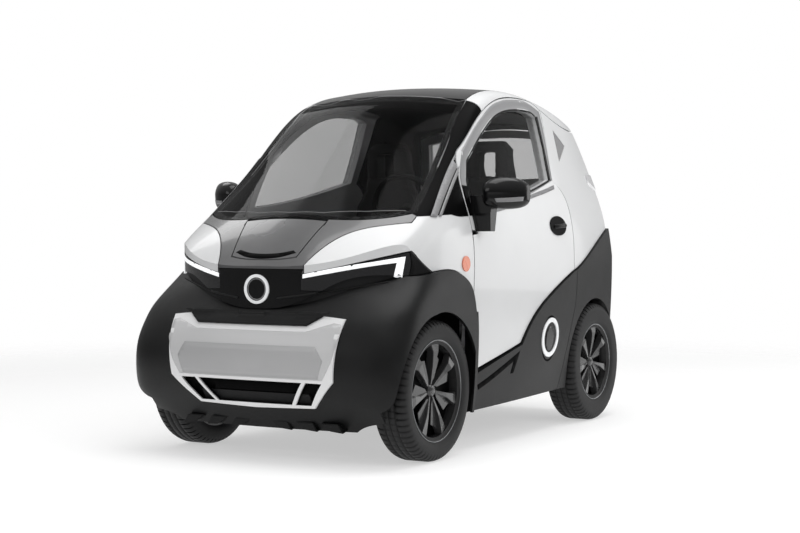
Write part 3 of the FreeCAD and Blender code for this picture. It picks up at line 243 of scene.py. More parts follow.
# the quarter glass is an opaque grey that stands in for what the glass reflects: painted
# reflection
paneGreyReflection = paint("paneGreyReflection", (.22, .22, .225), (.25, .25, .255), 0.15, coat=0.3)
trimGrey = paint("trimGrey", (.20, .20, .205), (.23, .23, .235), 0.4)
mirrorFace = paint("mirrorFace", (.62, .63, .65), (.66, .67, .69), 0.04, metallic=1.0)
rubber = plastic("rubber", (.012, .012, .0124), (.017, .017, .0174), 0.6, grain=0.3, size=900)
rimPaint = paint("rimPaint", (.022, .022, .0225), (.028, .028, .0285), 0.24, coat=0.4)
steel = paint("steel", (.30, .31, .32), (.38, .39, .40), 0.38, metallic=0.9)
frameBlack = paint("frameBlack", (.006, .006, .0065), (.009, .009, .0095), 0.6, shine=0.2)
amberLens = paint("amberLens", (.66, .16, .07), (.72, .20, .09), 0.28, coat=0.5)
redLens = paint("redLens", (.30, .006, .008), (.36, .010, .012), 0.18, coat=0.8)
paleEnds(redLens, 0.492, (.62, .62, .63))
lampBlack = paint("lampBlack", (.008, .008, .009), (.012, .012, .013), 0.12, coat=0.8)
seatLeather = plastic("seatLeather", (.020, .020, .021), (.026, .026, .027), 0.5, grain=0.5,
                      size=500)
cabinPlastic = plastic("cabinPlastic", (.005, .005, .0053), (.008, .008, .0084), 0.6, shine=0.1)
caseMetal = paint("caseMetal", (.26, .27, .28), (.32, .33, .34), 0.45, metallic=0.6)
# the white rings are no lamps: their glow is painted light
ringWhitePaintedGlow = litStrip("ringWhitePaintedGlow", (.82, .83, .84), 0.15)
ledWhite = litStrip("ledWhite", (.88, .89, .90), 0.55)

wheels = ("front_left", "front_right", "rear_left", "rear_right")
finishes = {
    whitePaint: ("wing_left", "wing_right", "quarter_left", "quarter_right", "roof_frame",
                 "door_left", "door_right", "tailgate"),
    bumperPlastic: ("front_bumper", "sill_left", "sill_right", "rear_bumper"),
    gloveBlack: ("nose_visor", "roof_panel", "mirror_left", "mirror_right"),
    stripBlack: ("pillar_left", "pillar_right", "door_handle_left", "door_handle_right"),
    bonnetPaint: ("bonnet", "service_flap"), facePanel: ("bumper_panel",),
    screenGlass: ("windscreen",), rearGlass: ("rear_glass",),
    sideGlass: ("door_glass_left", "door_glass_right"),
    paneGreyReflection: ("quarter_glass_left", "quarter_glass_right"),
    rubber: tuple("tyre_" + wheel for wheel in wheels),
    rimPaint: tuple("rim_" + wheel for wheel in wheels),
    steel: ("knuckle_left", "knuckle_right", "steering_rack", "rear_axle", "front_suspension"),
    frameBlack: ("body_frame", "chassis"), lampBlack: ("headlamp_left", "headlamp_right"),
    amberLens: ("side_markers",), redLens: ("tail_lamps",),
    ringWhitePaintedGlow: ("port_rings", "emblem_ring"), seatLeather: ("seat_left", "seat_right"),
    cabinPlastic: ("floor_pan", "dashboard", "steering_wheel", "steering_column"),
    caseMetal: ("battery",)}
for material, names in finishes.items():
    for name in names:
        nodes[name].data.materials.clear()
        nodes[name].data.materials.append(material)
print("materials set")


# Helpers for the pieces
def piece(name, mesh, material, body, smooth=True):
    item = linked(name, mesh)
    mesh.materials.clear()
    mesh.materials.append(material)
    for face in mesh.polygons:
        face.use_smooth = smooth
    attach(item, body)
    return item


def surfaceOf(*names):
    # a tree of the CAD surfaces that a thin piece lies on
    verts, faces = [], []
    for name in names:
        mesh = nodes[name].data
        start = len(verts)
        verts += [v.co.copy() for v in mesh.vertices]
        faces += [tuple(start + k for k in f.vertices) for f in mesh.polygons]
    return BVHTree.FromPolygons(verts, faces)


def smoothLoop(points, steps=6):
    # a closed line through the points; a point with a third value keeps its corner
    loop = []
    count = len(points)
    for n in range(count):
        a, b = Vector(points[n - 1][:2]), Vector(points[n][:2])
        c, d = Vector(points[(n + 1) % count][:2]), Vector(points[(n + 2) % count][:2])
        if len(points[n]) > 2:
            a = b - (c - b)
        if len(points[(n + 1) % count]) > 2:
            d = c + (c - b)
        for k in range(steps):
            t = k / steps
            loop.append(0.5 * ((2 * b) + (c - a) * t + (2 * a - 5 * b + 4 * c - d) * t * t
                               + (3 * b - a - 3 * c + d) * t * t * t))
    return loop


def settle(tree, verts, direction, lift):
    # moves points along the ray to just above the surface; one that meets a seam
    # takes the depth of its nearest neighbour
    found, lost = [], []
    for v in verts:
        start = v.co.copy()
        hit, normal, _, _ = tree.ray_cast(start, direction)
        if hit is None:
            lost.append(v)
            continue
        if normal.dot(direction) > 0:
            normal = -normal
        v.co = hit + normal * lift
        found.append((start, (v.co - start).dot(direction)))
    for v in lost:
        near = min(found, key=lambda f: (f[0] - v.co).length_squared)
        v.co = v.co + direction * near[1]


def startPlane(direction):
    # where rays of that direction start, from two coordinates, and the axes they run on
    if abs(direction.x) > 0.5:
        return lambda a, b: Vector((-direction.x * 2.0, a, b)), (1, 2)
    if abs(direction.y) > 0.5:
        return lambda a, b: Vector((a, -direction.y * 2.0, b)), (0, 2)
    return lambda a, b: Vector((a, b, -direction.z * 3.0)), (0, 1)


def thicken(work, direction, thick):
    # every face looks back along the ray, then gets its thickness
    bmesh.ops.recalc_face_normals(work, faces=work.faces[:])
    if sum(f.normal.dot(direction) * f.calc_area() for f in work.faces) > 0:
        bmesh.ops.reverse_faces(work, faces=work.faces[:])
    bmesh.ops.solidify(work, geom=work.faces[:], thickness=thick)
    return meshFrom(work, "sheet")


def bandOn(tree, loop, toward, width, lift, thick):
    # a band along a closed line, inside it, or outside where its width is negative
    direction = Vector(toward).normalized()
    place, _ = startPlane(direction)
    count = len(loop)
    area = sum(loop[n - 1].x * loop[n].y - loop[n].x * loop[n - 1].y for n in range(count))
    turn = 1 if area > 0 else -1
    work = bmesh.new()
    pairs = []
    for n in range(count):
        along = (loop[(n + 1) % count] - loop[n - 1]).normalized()
        inward = Vector((-along.y, along.x)) * turn * width
        pairs.append([work.verts.new(place(*(loop[n] + inward * k))) for k in (0, 0.5, 1)])
    for n in range(count):
        a, b = pairs[n], pairs[(n + 1) % count]
        for k in (0, 1):
            work.faces.new((a[k], a[k + 1], b[k + 1], b[k]))
    settle(tree, work.verts, direction, lift)
    return thicken(work, direction, thick)


def ringOn(tree, inner, outer, toward, lift, thick, rows=4):
    # a sheet between two matching closed lines
    direction = Vector(toward).normalized()
    place, _ = startPlane(direction)
    work = bmesh.new()
    grid = [[work.verts.new(place(*a.lerp(b, k / rows))) for k in range(rows + 1)]
            for a, b in zip(inner, outer)]
    for n in range(len(grid)):
        a, b = grid[n - 1], grid[n]
        for k in range(rows):
            work.faces.new((a[k], a[k + 1], b[k + 1], b[k]))
    settle(tree, work.verts, direction, lift)
    return thicken(work, direction, thick)


def layOn(tree, loop, toward, lift, grid, thick):
    # a thin sheet of that outline laid on the surface that a ray along `toward` meets
    direction = Vector(toward).normalized()
    place, axes = startPlane(direction)
    work = bmesh.new()
    work.faces.new([work.verts.new(place(p[0], p[1])) for p in loop])
    spots = [v.co.copy() for v in work.verts]
    for axis in axes:
        low, high = min(s[axis] for s in spots), max(s[axis] for s in spots)
        count = max(1, int((high - low) / grid))
        for n in range(1, count):
            at = Vector((0, 0, 0))
            at[axis] = low + (high - low) * n / count
            normal = Vector((0, 0, 0))
            normal[axis] = 1
            bmesh.ops.bisect_plane(work, geom=work.verts[:] + work.edges[:] + work.faces[:],
                                   dist=1e-6, plane_co=at, plane_no=normal)
    bmesh.ops.triangulate(work, faces=work.faces[:])
    settle(tree, work.verts, direction, lift)
    return thicken(work, direction, thick)


def swept(points, radius, sides=10, closed=False):
    # a round bar along a line of points
    curve = bpy.data.curves.new("bar", "CURVE")
    curve.dimensions = "3D"
    spline = curve.splines.new("POLY")
    spline.points.add(len(points) - 1)
    for spot, p in zip(spline.points, points):
        spot.co = (*p, 1)
    spline.use_cyclic_u = closed
    curve.bevel_depth = radius
    curve.bevel_resolution = max(1, sides // 4)
    curve.use_fill_caps = True
    holder = linked("bar", curve)
    mesh = evaluated(holder)
    bpy.data.objects.remove(holder)
    return mesh


def mirrorMesh(mesh):
    other = mesh.copy()
    other.transform(Matrix.Scale(-1, 4, (0, 1, 0)))
    work = bmesh.new()
    work.from_mesh(other)
    bmesh.ops.reverse_faces(work, faces=work.faces[:])
    work.to_mesh(other)
    work.free()
    return other


def bothSides(name, mesh, material, body, smooth=True):
    # the left piece and its mirror image; a body name may hold %s for the side
    left = piece(name + "Left", mesh, material, body.replace("%s", "left"), smooth)
    right = piece(name + "Right", mirrorMesh(mesh), material, body.replace("%s", "right"),
                  smooth)
    return left, right


# Tyres: one pitch of the tread is drawn, and a node tree repeats it round the axle.
tyreSizes = {"radius": 0.285, "width": 0.155, "frontLip": 0.206, "rearLip": 0.184, "pitches": 64,
             "groove": 0.0065, "sipe": 0.6, "slot": 0.75, "slant": 0.25,
             "flatHalf": 0.0326, "shoulder": 0.0215, "grooveFrom": 0.0254, "grooveTo": 0.0316,
             "middleHalf": 0.0026, "sipeShare": 0.025, "slotShare": 0.225,
             "frontAxle": (0.7215, 0.545, 0.285), "rearAxle": (-0.8885, 0.545, 0.285)}


def tyrePitch(lip):
    # grid over one pitch: across the section, and a few steps round
    r, w = tyreSizes["radius"], tyreSizes["width"] / 2
    section = [(lip - 0.018, -w + 0.020), (lip + 0.001, -w + 0.012), (lip + 0.012, -w + 0.003),
               (lip + 0.030, -w + 0.0005), (r - 0.035, -w), (r - 0.022, -w + 0.002),
               (r - 0.013, -w + 0.0065), (r - 0.006, -w + 0.014), (r - 0.002, -w + 0.024),
               (r, -w + 0.034), (r, -0.0325), (r, -0.0315), (r, -0.0255), (r, -0.0245),
               (r, -0.013), (r, -0.0035), (r, -0.0025), (r, 0.0025), (r, 0.0035), (r, 0.013),
               (r, 0.0245), (r, 0.0255), (r, 0.0315), (r, 0.0325), (r, w - 0.034),
               (r - 0.002, w - 0.024), (r - 0.006, w - 0.014), (r - 0.013, w - 0.0065),
               (r - 0.022, w - 0.002), (r - 0.035, w), (lip + 0.030, w - 0.0005),
               (lip + 0.012, w - 0.003), (lip + 0.001, w - 0.012), (lip - 0.018, w - 0.020)]
    angle = 2 * math.pi / tyreSizes["pitches"]
    shares = [0.0, 0.02, 0.03, 0.22, 0.23, 0.45, 0.55, 0.68, 0.69, 1.0]
    work = bmesh.new()
    rows = []
    for share in shares:
        line = []
        for radius, across in section:
            out = abs(across)
            flat = out < tyreSizes["flatHalf"]
            shoulder = not flat and radius > r - tyreSizes["shoulder"]
            deep = 0.0
            if (tyreSizes["grooveFrom"] < out < tyreSizes["grooveTo"]
                    or out < tyreSizes["middleHalf"]):
                deep = tyreSizes["groove"]                         # grooves round the tyre
            elif flat and share <= tyreSizes["sipeShare"]:
                deep = tyreSizes["groove"] * tyreSizes["sipe"]     # sipes across the ribs
            elif shoulder and share <= tyreSizes["slotShare"]:
                deep = tyreSizes["groove"] * tyreSizes["slot"]     # slots of the shoulder
            turn = share * angle + tyreSizes["slant"] * across / w * angle
            line.append(work.verts.new(((radius - deep) * math.sin(turn), across,
                                        (radius - deep) * math.cos(turn))))
        rows.append(line)
    for a, b in zip(rows, rows[1:]):
        for n in range(len(section) - 1):
            work.faces.new((a[n], a[n + 1], b[n + 1], b[n]))
    return meshFrom(work, "tyrePitch")


def aroundAxle(name, material):
    # Geometry Nodes: repeats the piece round the Y axis and joins the seams
    tree = bpy.data.node_groups.new(name, "GeometryNodeTree")
    face = tree.interface
    face.new_socket("Geometry", in_out="INPUT", socket_type="NodeSocketGeometry")
    face.new_socket("Count", in_out="INPUT", socket_type="NodeSocketInt")
    face.new_socket("Join Distance", in_out="INPUT", socket_type="NodeSocketFloat")
    face.new_socket("Geometry", in_out="OUTPUT", socket_type="NodeSocketGeometry")
    add = tree.nodes.new
    source, sink = add("NodeGroupInput"), add("NodeGroupOutput")
    lines = add("GeometryNodeMeshLine")
    scatter = add("GeometryNodeInstanceOnPoints")
    index = add("GeometryNodeInputIndex")
    divide = add("ShaderNodeMath")
    divide.operation = "DIVIDE"
    times = add("ShaderNodeMath")
    times.operation = "MULTIPLY"
    times.inputs[1].default_value = 2 * math.pi
    turn = add("ShaderNodeCombineXYZ")
    realize, merge = add("GeometryNodeRealizeInstances"), add("GeometryNodeMergeByDistance")
    finish = add("GeometryNodeSetMaterial")
    finish.inputs["Material"].default_value = material
    lines.inputs["Offset"].default_value = (0, 0, 0)
    link = tree.links.new
    link(source.outputs["Count"], lines.inputs["Count"])
    link(lines.outputs["Mesh"], scatter.inputs["Points"])
    link(source.outputs["Geometry"], scatter.inputs["Instance"])
    link(index.outputs["Index"], divide.inputs[0])
    link(source.outputs["Count"], divide.inputs[1])
    link(divide.outputs["Value"], times.inputs[0])
    link(times.outputs["Value"], turn.inputs["Y"])
    link(turn.outputs["Vector"], scatter.inputs["Rotation"])
    link(scatter.outputs["Instances"], realize.inputs["Geometry"])
    link(realize.outputs["Geometry"], merge.inputs["Geometry"])
    link(source.outputs["Join Distance"], merge.inputs["Distance"])
    link(merge.outputs["Geometry"], finish.inputs["Geometry"])
    link(finish.outputs["Geometry"], sink.inputs["Geometry"])
    return tree


def repeated(mesh, tree, count, join):
    holder = linked("holder", mesh)
    modifier = holder.modifiers.new("repeat", "NODES")
    modifier.node_group = tree
    wanted = {"Count": count, "Join Distance": join}
    for item in tree.interface.items_tree:
        if item.in_out == "INPUT" and item.name in wanted:
            modifier[item.identifier] = wanted[item.name]
    made = evaluated(holder)
    holder.modifiers.clear()
    bpy.data.objects.remove(holder)
    return made


tyreTree = aroundAxle("tyreAround", rubber)
for spot, lip, axle in (("front", tyreSizes["frontLip"], tyreSizes["frontAxle"]),
                        ("rear", tyreSizes["rearLip"], tyreSizes["rearAxle"])):
    whole = repeated(tyrePitch(lip), tyreTree, tyreSizes["pitches"], 0.0001)
    for side, sign in (("left", 1), ("right", -1)):
        mesh = whole.copy()
        place = Matrix.Translation((axle[0], sign * axle[1], axle[2]))
        if sign < 0:
            place = place @ Matrix.Rotation(math.pi, 4, "Z")
        mesh.transform(place)
        tyre = piece("tyre%s%s" % (spot.title(), side.title()), mesh, rubber,
                     "wheel_%s_%s" % (spot, side))
        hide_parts("tyre_%s_%s" % (spot, side))
print("tyres made")

# Outlines below are y and z seen from the front, or x and z seen from the left.
shift = 0.0245    # the outlines' own origin lies this far behind the frame's


def sideLoop(points):
    return smoothLoop([(p[0] + shift, *p[1:]) for p in points])


def oval(across, up, wide, tall, count=56):
    return [Vector((across + wide * math.cos(2 * math.pi * n / count),
                    up + tall * math.sin(2 * math.pi * n / count))) for n in range(count)]


def onSurface(tree, points, toward, lift=0.0, steps=6):
    # the points of a line on the surface, with more points between them
    direction = Vector(toward).normalized()
    place, _ = startPlane(direction)
    spots = []
    for a, b in zip(points, points[1:]):
        for k in range(steps):
            spots.append(Vector(a).lerp(Vector(b), k / steps))
    spots.append(Vector(points[-1]))
    line = []
    for spot in spots:
        hit, normal, _, _ = tree.ray_cast(place(spot.x, spot.y), direction)
        if hit is not None:
            line.append(hit - direction * lift)
    return line


# Nose: light strips, the flap's grip as painted shade, emblem disc, face plate with painted shade
# on its facets, slot backs and lip
nose = {"stripLift": 0.0015, "stripThick": 0.003, "discInset": 0.010, "rimInset": 0.016,
        "strip": [(0.204, 0.757, 1), (0.352, 0.788), (0.461, 0.808), (0.547, 0.827, 1),
                  (0.542, 0.781), (0.537, 0.739, 1), (0.515, 0.748, 1), (0.524, 0.803, 1),
                  (0.421, 0.784), (0.311, 0.762), (0.204, 0.741, 1)],
        "grip": [(-0.147, 0.8405, 1), (-0.08, 0.8225), (0.0, 0.8165), (0.08, 0.8225),
                 (0.147, 0.8405, 1), (0.130, 0.8505, 1), (0.07, 0.8395), (0.0, 0.836),
                 (-0.07, 0.8395), (-0.130, 0.8505, 1)],
        "facePlate": [(-0.405, 0.566, 1), (-0.372, 0.571, 1), (-0.262, 0.536, 1),
                      (0.262, 0.536, 1), (0.372, 0.571, 1), (0.405, 0.566, 1), (0.405, 0.50),
                      (0.385, 0.42), (0.345, 0.349, 1), (-0.345, 0.349, 1), (-0.385, 0.42),
                      (-0.405, 0.50)],
        "plateBrow": [(-0.352, 0.612, 1), (-0.262, 0.556, 1), (0.262, 0.556, 1),
                      (0.352, 0.612, 1)],
        "face": [(-0.315, 0.480, 1), (0.315, 0.480, 1), (0.350, 0.425, 1), (0.326, 0.353, 1),
                 (-0.326, 0.353, 1), (-0.350, 0.425, 1)],
        "slots": [(-0.36, 0.342, 1), (0.36, 0.342, 1), (0.29, 0.236, 1), (-0.29, 0.236, 1)],
        "brow": [(0.095, 0.660), (0.2, 0.674), (0.30, 0.689), (0.40, 0.708), (0.50, 0.727)]}
noseSkin = surfaceOf("headlamp_left", "nose_visor", "bonnet", "wing_left")
back = (-1, 0, 0)
strip = layOn(noseSkin, smoothLoop(nose["strip"]), back, nose["stripLift"], 0.02,
              nose["stripThick"])
bothSides("lampStrip", strip, ledWhite, "car")
# the grip's hollow is drawn as a black sheet: painted shade
piece("flapGripShade", layOn(surfaceOf("service_flap"), smoothLoop(nose["grip"]), back, 0.0004, 0.01,
                        0.001), lineBlack, "service_flap")
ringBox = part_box("emblem_ring")
ringY, ringZ = (ringBox[0][1] + ringBox[1][1]) / 2, (ringBox[0][2] + ringBox[1][2]) / 2
ringR = (ringBox[1][2] - ringBox[0][2]) / 2
visorSkin = surfaceOf("nose_visor")
discR, rimR = ringR - nose["discInset"], ringR - nose["rimInset"]
piece("emblemDisc", layOn(visorSkin, oval(ringY, ringZ, discR, discR), back, 0.003, 0.012, 0.003),
      gloveBlack, "car")
piece("emblemRim", bandOn(visorSkin, oval(ringY, ringZ, rimR, rimR), back, 0.003, 0.004, 0.001),
      trimGrey, "car")
faceSkin = surfaceOf("bumper_panel")
# lift, grid, thickness, material and slot of each sheet on the face plate
for name, outline, lift, grid, thick, material, slotName in (
        # faceField and faceCentre carry the painted shade of the panel's facets
        ("faceField", "facePlate", 0.0004, 0.02, 0.0006, faceShadeMid, "panel_grey"),
        ("plateBrow", "plateBrow", 0.0065, 0.01, 0.004, bumperPlastic, "black_plastic"),
        ("faceCentre", "face", 0.0010, 0.02, 0.001, faceShadeDeep, "panel_grey"),
        ("slotBacks", "slots", -0.03, 0.02, 0.002, lineBlack, None)):
    piece(name, layOn(faceSkin, smoothLoop(nose[outline]), back, lift, grid, thick), material,
          "car")
browLine = onSurface(surfaceOf("nose_visor", "front_bumper", "headlamp_left", "body_frame"),
                     nose["brow"], back)
bothSides("browBar", swept(browLine, 0.0045), bumperPlastic, "car")

lip = {"places": (0.085, 0.205, 0.325), "wide": 0.085, "top": 0.172, "low": 0.136,
       "back": 1.000, "front": 1.052, "slant": 0.022, "rise": 0.012, "bevel": 0.003}
for n, y in enumerate(lip["places"]):
    work = bmesh.new()
    corners = []
    for x, low in ((lip["back"] + shift, lip["low"] + lip["rise"]),
                   (lip["front"] + shift, lip["low"])):
        corners.append([work.verts.new((x, y + a, z)) for a, z in (
            (-lip["wide"] / 2, lip["top"]), (lip["wide"] / 2, lip["top"]),
            (lip["wide"] / 2 + lip["slant"], low), (0.0, low + 0.006),
            (-lip["wide"] / 2 + lip["slant"] * 1.5, low + 0.014))])
    work.faces.new(corners[0][::-1])
    work.faces.new(corners[1])
    for k in range(5):
        m = (k + 1) % 5
        work.faces.new((corners[0][k], corners[0][m], corners[1][m], corners[1][k]))
    bmesh.ops.recalc_face_normals(work, faces=work.faces[:])
    bmesh.ops.bevel(work, geom=work.edges[:], offset=lip["bevel"], segments=2, affect="EDGES")
    bothSides("lipFin%d" % n, meshFrom(work, "lipFin"), bumperPlastic, "car",
              smooth=False)
print("nose dressed")

# Left side, and its mirror image: sail panels, pillar strips and a painted reflection on the
# pillar, window seals, belt strip, port with a painted shadow round it, sill with painted shade in
# its recess, and handle
side = {"sailFront": [(0.557, 1.002, 1), (0.515, 1.066), (0.45, 1.103), (0.386, 1.121, 1),
                      (0.386, 1.05), (0.385, 0.989, 1), (0.47, 0.987)],
        "sailRear": [(0.372, 1.120, 1), (0.322, 1.110), (0.300, 1.06), (0.286, 0.995, 1),
                     (0.33, 0.992), (0.374, 0.990, 1), (0.376, 1.05)],
        "window": [(0.337, 1.030, 1), (0.322, 1.130), (0.282, 1.221, 1), (0.129, 1.332),
                   (-0.018, 1.415), (-0.143, 1.455), (-0.283, 1.472), (-0.430, 1.472),
                   (-0.490, 1.455, 1), (-0.486, 1.310), (-0.470, 1.160, 1), (-0.198, 1.100),
                   (0.06, 1.057)],
        "postSeal": [(-0.490, 1.455, 1), (-0.486, 1.31), (-0.470, 1.160, 1), (-0.497, 1.156, 1),
                     (-0.512, 1.31), (-0.517, 1.462, 1)],
        "belt": [(0.27, 1.012, 1), (0.06, 1.036), (-0.18, 1.080), (-0.40, 1.116),
                 (-0.519, 1.138, 1), (-0.519, 1.120, 1), (-0.40, 1.098), (-0.18, 1.062),
                 (0.06, 1.018), (0.27, 0.994, 1)],
        # sill: outline of the sill's recess, which is painted darker as shade
        "sill": [(0.311, 0.275, 1), (0.206, 0.306), (-0.06, 0.396, 1), (-0.01, 0.300, 1),
                 (0.02, 0.300, 1), (0.0, 0.352, 1), (0.19, 0.285), (0.300, 0.252, 1)],
        "port": (-0.362, 0.432, 0.086, 0.106), "plate": (0.045, 0.058), "sealWide": 0.009,
        "frame": [(0.374, 0.995, 1), (0.369, 1.150), (0.300, 1.270, 1), (0.160, 1.375),
                  (-0.012, 1.470), (-0.146, 1.509), (-0.275, 1.524), (-0.424, 1.525),
                  (-0.556, 1.486, 1), (-0.545, 1.350), (-0.516, 1.160, 1), (-0.198, 1.084),
                  (0.06, 1.041)],
        # light: a grey wedge on the pillar, a painted reflection
        "light": [(0.650, 0.984, 1), (0.335, 1.256, 1), (0.350, 1.212, 1), (0.618, 0.982, 1)],
        "lightTrim": [(0.606, 0.986, 1), (0.355, 1.202, 1), (0.370, 1.172, 1),
                      (0.590, 0.985, 1)]}
across = (0, -1, 0)
sailSkin = surfaceOf("pillar_left", "wing_left")
doorSkin = surfaceOf("door_left")
sillSkin = surfaceOf("sill_left")


def sideSheet(name, skin, outline, lift, grid, thick, material, body):
    bothSides(name, layOn(skin, sideLoop(side[outline]), across, lift, grid, thick), material,
              body)


sideSheet("sailFront", sailSkin, "sailFront", 0.0012, 0.015, 0.002, stripBlack, "car")
# a grey wedge laid on the pillar: painted reflection
sideSheet("pillarReflection", sailSkin, "light", 0.0040, 0.012, 0.002, trimGrey, "car")
sideSheet("pillarTrim", sailSkin, "lightTrim", 0.0045, 0.012, 0.002, frameGrey, "car")
sideSheet("sailRear", doorSkin, "sailRear", 0.0012, 0.015, 0.002, stripBlack, "door_%s")
bothSides("windowSeal", bandOn(doorSkin, sideLoop(side["window"]), across, -side["sealWide"],
                               0.0008, 0.0016), sealBlack, "door_%s")
bothSides("windowFrame", ringOn(doorSkin, sideLoop(side["window"]), sideLoop(side["frame"]),
                                across, 0.0003, 0.0006), frameGrey, "door_%s")
sideSheet("postSeal", doorSkin, "postSeal", 0.0010, 0.015, 0.0018, sealBlack, "door_%s")
sideSheet("beltStrip", doorSkin, "belt", 0.0012, 0.015, 0.0022, trimGrey, "door_%s")
# a black band in the sill's recess: painted shade
sideSheet("sillRecessShade", sillSkin, "sill", 0.0003, 0.02, 0.0008, lineBlack, "car")
portOval = oval(side["port"][0] + shift, *side["port"][1:])
# a black band round the port ring: painted shadow
bothSides("portShadowRing", bandOn(sillSkin, portOval, across, 0.009, 0.0006, 0.0012), lineBlack, "car")
portPlate = oval(side["port"][0] + shift, side["port"][1], *side["plate"])
bothSides("portPlate", layOn(sillSkin, portPlate, across, 0.0014, 0.012, 0.002), gloveBlack, "car")

handle = {"from": (-0.425, 0.944), "to": (-0.545, 0.950), "out": 0.010, "thick": 0.011}
start, end = [onSurface(doorSkin, [(p[0] + shift, p[1])] * 2, across)[0]
              for p in (handle["from"], handle["to"])]
lever = [start, *(start.lerp(end, share) + Vector((0, handle["out"] * bow, 0))
                  for share, bow in ((0.12, 1), (0.5, 1.25), (0.88, 1))), end]
bothSides("doorLever", swept(lever, handle["thick"]), bumperPlastic, "door_%s")
print("sides dressed")

# Mirrors: indicator strip, and the glass on the flat rear side
mirrorSkin = surfaceOf("mirror_left")
indicator = [(0.700, 1.063, 1), (0.76, 1.066), (0.796, 1.070, 1), (0.793, 1.052, 1),
             (0.76, 1.048), (0.706, 1.046, 1)]
bothSides("mirrorLamp", layOn(mirrorSkin, smoothLoop(indicator), back, 0.0008, 0.008, 0.0015),
          trimGrey, "door_%s")
bothSides("mirrorGlass", layOn(mirrorSkin, oval(0.728, 1.084, 0.060, 0.050), (1, 0, 0), 0.0006,
                               0.012, 0.001), mirrorFace, "door_%s")

# Windscreen: a thin light line above its foot, and one along its upper edge
screenSkin = surfaceOf("windscreen")
screenSizes = {"footLine": 0.0013, "roofLine": 0.0022, "reach": 0.50, "steps": 21,
               "window": 0.03, "gap": 0.01}
seam = [(0.700, -0.470), (0.770, -0.330), (0.828, -0.160), (0.842, 0.0), (0.828, 0.160),
        (0.770, 0.330), (0.700, 0.470)]
seamLine = onSurface(screenSkin, [(x + shift, y) for x, y in seam], (0, 0, -1), 0.0005)
piece("screenLine", swept(seamLine, screenSizes["footLine"], 8), trimGrey, "car")
screenPoints = [vertex.co.copy() for vertex in nodes["windscreen"].data.vertices]
upperEdge = []
for n in range(screenSizes["steps"]):
    y = screenSizes["reach"] * (2 * n / (screenSizes["steps"] - 1) - 1)
    near = [point for point in screenPoints if abs(point.y - y) < screenSizes["window"]]
    upperEdge.append(min(near, key=lambda point: (round(point.x, 5), -point.z)))
upperEdge.sort(key=lambda point: point.y)
upperEdge = [point for n, point in enumerate(upperEdge)
             if n == 0 or point.y - upperEdge[n - 1].y > screenSizes["gap"]]
piece("roofLine", swept(upperEdge, screenSizes["roofLine"], 8), trimGrey, "car")

# Rims: one ridge with its blade, repeated seven times, in a turned barrel with a hub cap
rimSizes = {"spokes": 7, "lipFront": 0.2065, "lipRear": 0.1845, "face": 0.066, "bevel": 0.0015,
            "bladeBack": 0.034, "bladeFront": 0.040, "dishBack": 0.012, "dishFront": 0.018,
            "dishInset": 0.013, "edge": 0.0014, "edgeInset": 0.0015, "edgeLift": 0.0008,
            "edgeSteps": 96}


def prismFrom(work, rings):
    # closed body through matching rings of points
    loops = [[work.verts.new(p) for p in ring] for ring in rings]
    work.faces.new(loops[0][::-1])
    work.faces.new(loops[-1])
    for a, b in zip(loops, loops[1:]):
        for k in range(len(a)):
            m = (k + 1) % len(a)
            work.faces.new((a[k], a[m], b[m], b[k]))


def rimSector(scale):
    # up is outward along the spoke, x runs against the blade and y is the wheel's face
    def spot(along, side, out):
        return (-side * scale, out, along * scale)
    work = bmesh.new()
    prismFrom(work, [
        [spot(0.026, -0.012, 0.016), spot(0.026, 0.012, 0.016), spot(0.026, 0.005, 0.040),
         spot(0.026, -0.005, 0.040)],
        [spot(0.110, -0.010, 0.022), spot(0.110, 0.020, 0.022), spot(0.110, 0.012, 0.054),
         spot(0.110, -0.007, 0.052)],
        [spot(0.158, -0.014, 0.026), spot(0.158, 0.034, 0.026), spot(0.158, 0.026, 0.060),
         spot(0.158, -0.010, 0.056)],
        [spot(0.201, -0.034, 0.030), spot(0.198, 0.034, 0.030), spot(0.196, 0.030, 0.058),
         spot(0.201, -0.028, 0.050)]])
    prismFrom(work, [
        [spot(0.034, 0.004, out), spot(0.146, 0.006, out), spot(0.158, 0.030, out),
         spot(0.120, 0.064, out), spot(0.046, 0.022, out)]
        for out in (rimSizes["bladeBack"], rimSizes["bladeFront"])])
    bmesh.ops.recalc_face_normals(work, faces=work.faces[:])
    bmesh.ops.bevel(work, geom=work.edges[:], offset=rimSizes["bevel"], segments=2,
                    affect="EDGES")
    return meshFrom(work, "rimSector")


def turned(section, steps=96):
    # closed ring from a closed outline of radius and place along the axle
    work = bmesh.new()
    rings = []
    for n in range(steps):
        turn = 2 * math.pi * n / steps
        rings.append([work.verts.new((radius * math.sin(turn), out, radius * math.cos(turn)))
                      for radius, out in section])
    for n in range(steps):
        a, b = rings[n - 1], rings[n]
        for k in range(len(section)):
            m = (k + 1) % len(section)
            work.faces.new((a[k], a[m], b[m], b[k]))
    bmesh.ops.remove_doubles(work, verts=work.verts[:], dist=1e-6)
    bmesh.ops.recalc_face_normals(work, faces=work.faces[:])
    return meshFrom(work, "turned")


def joined(meshes):
    work = bmesh.new()
    for mesh in meshes:
        work.from_mesh(mesh)
    return meshFrom(work, "joined")


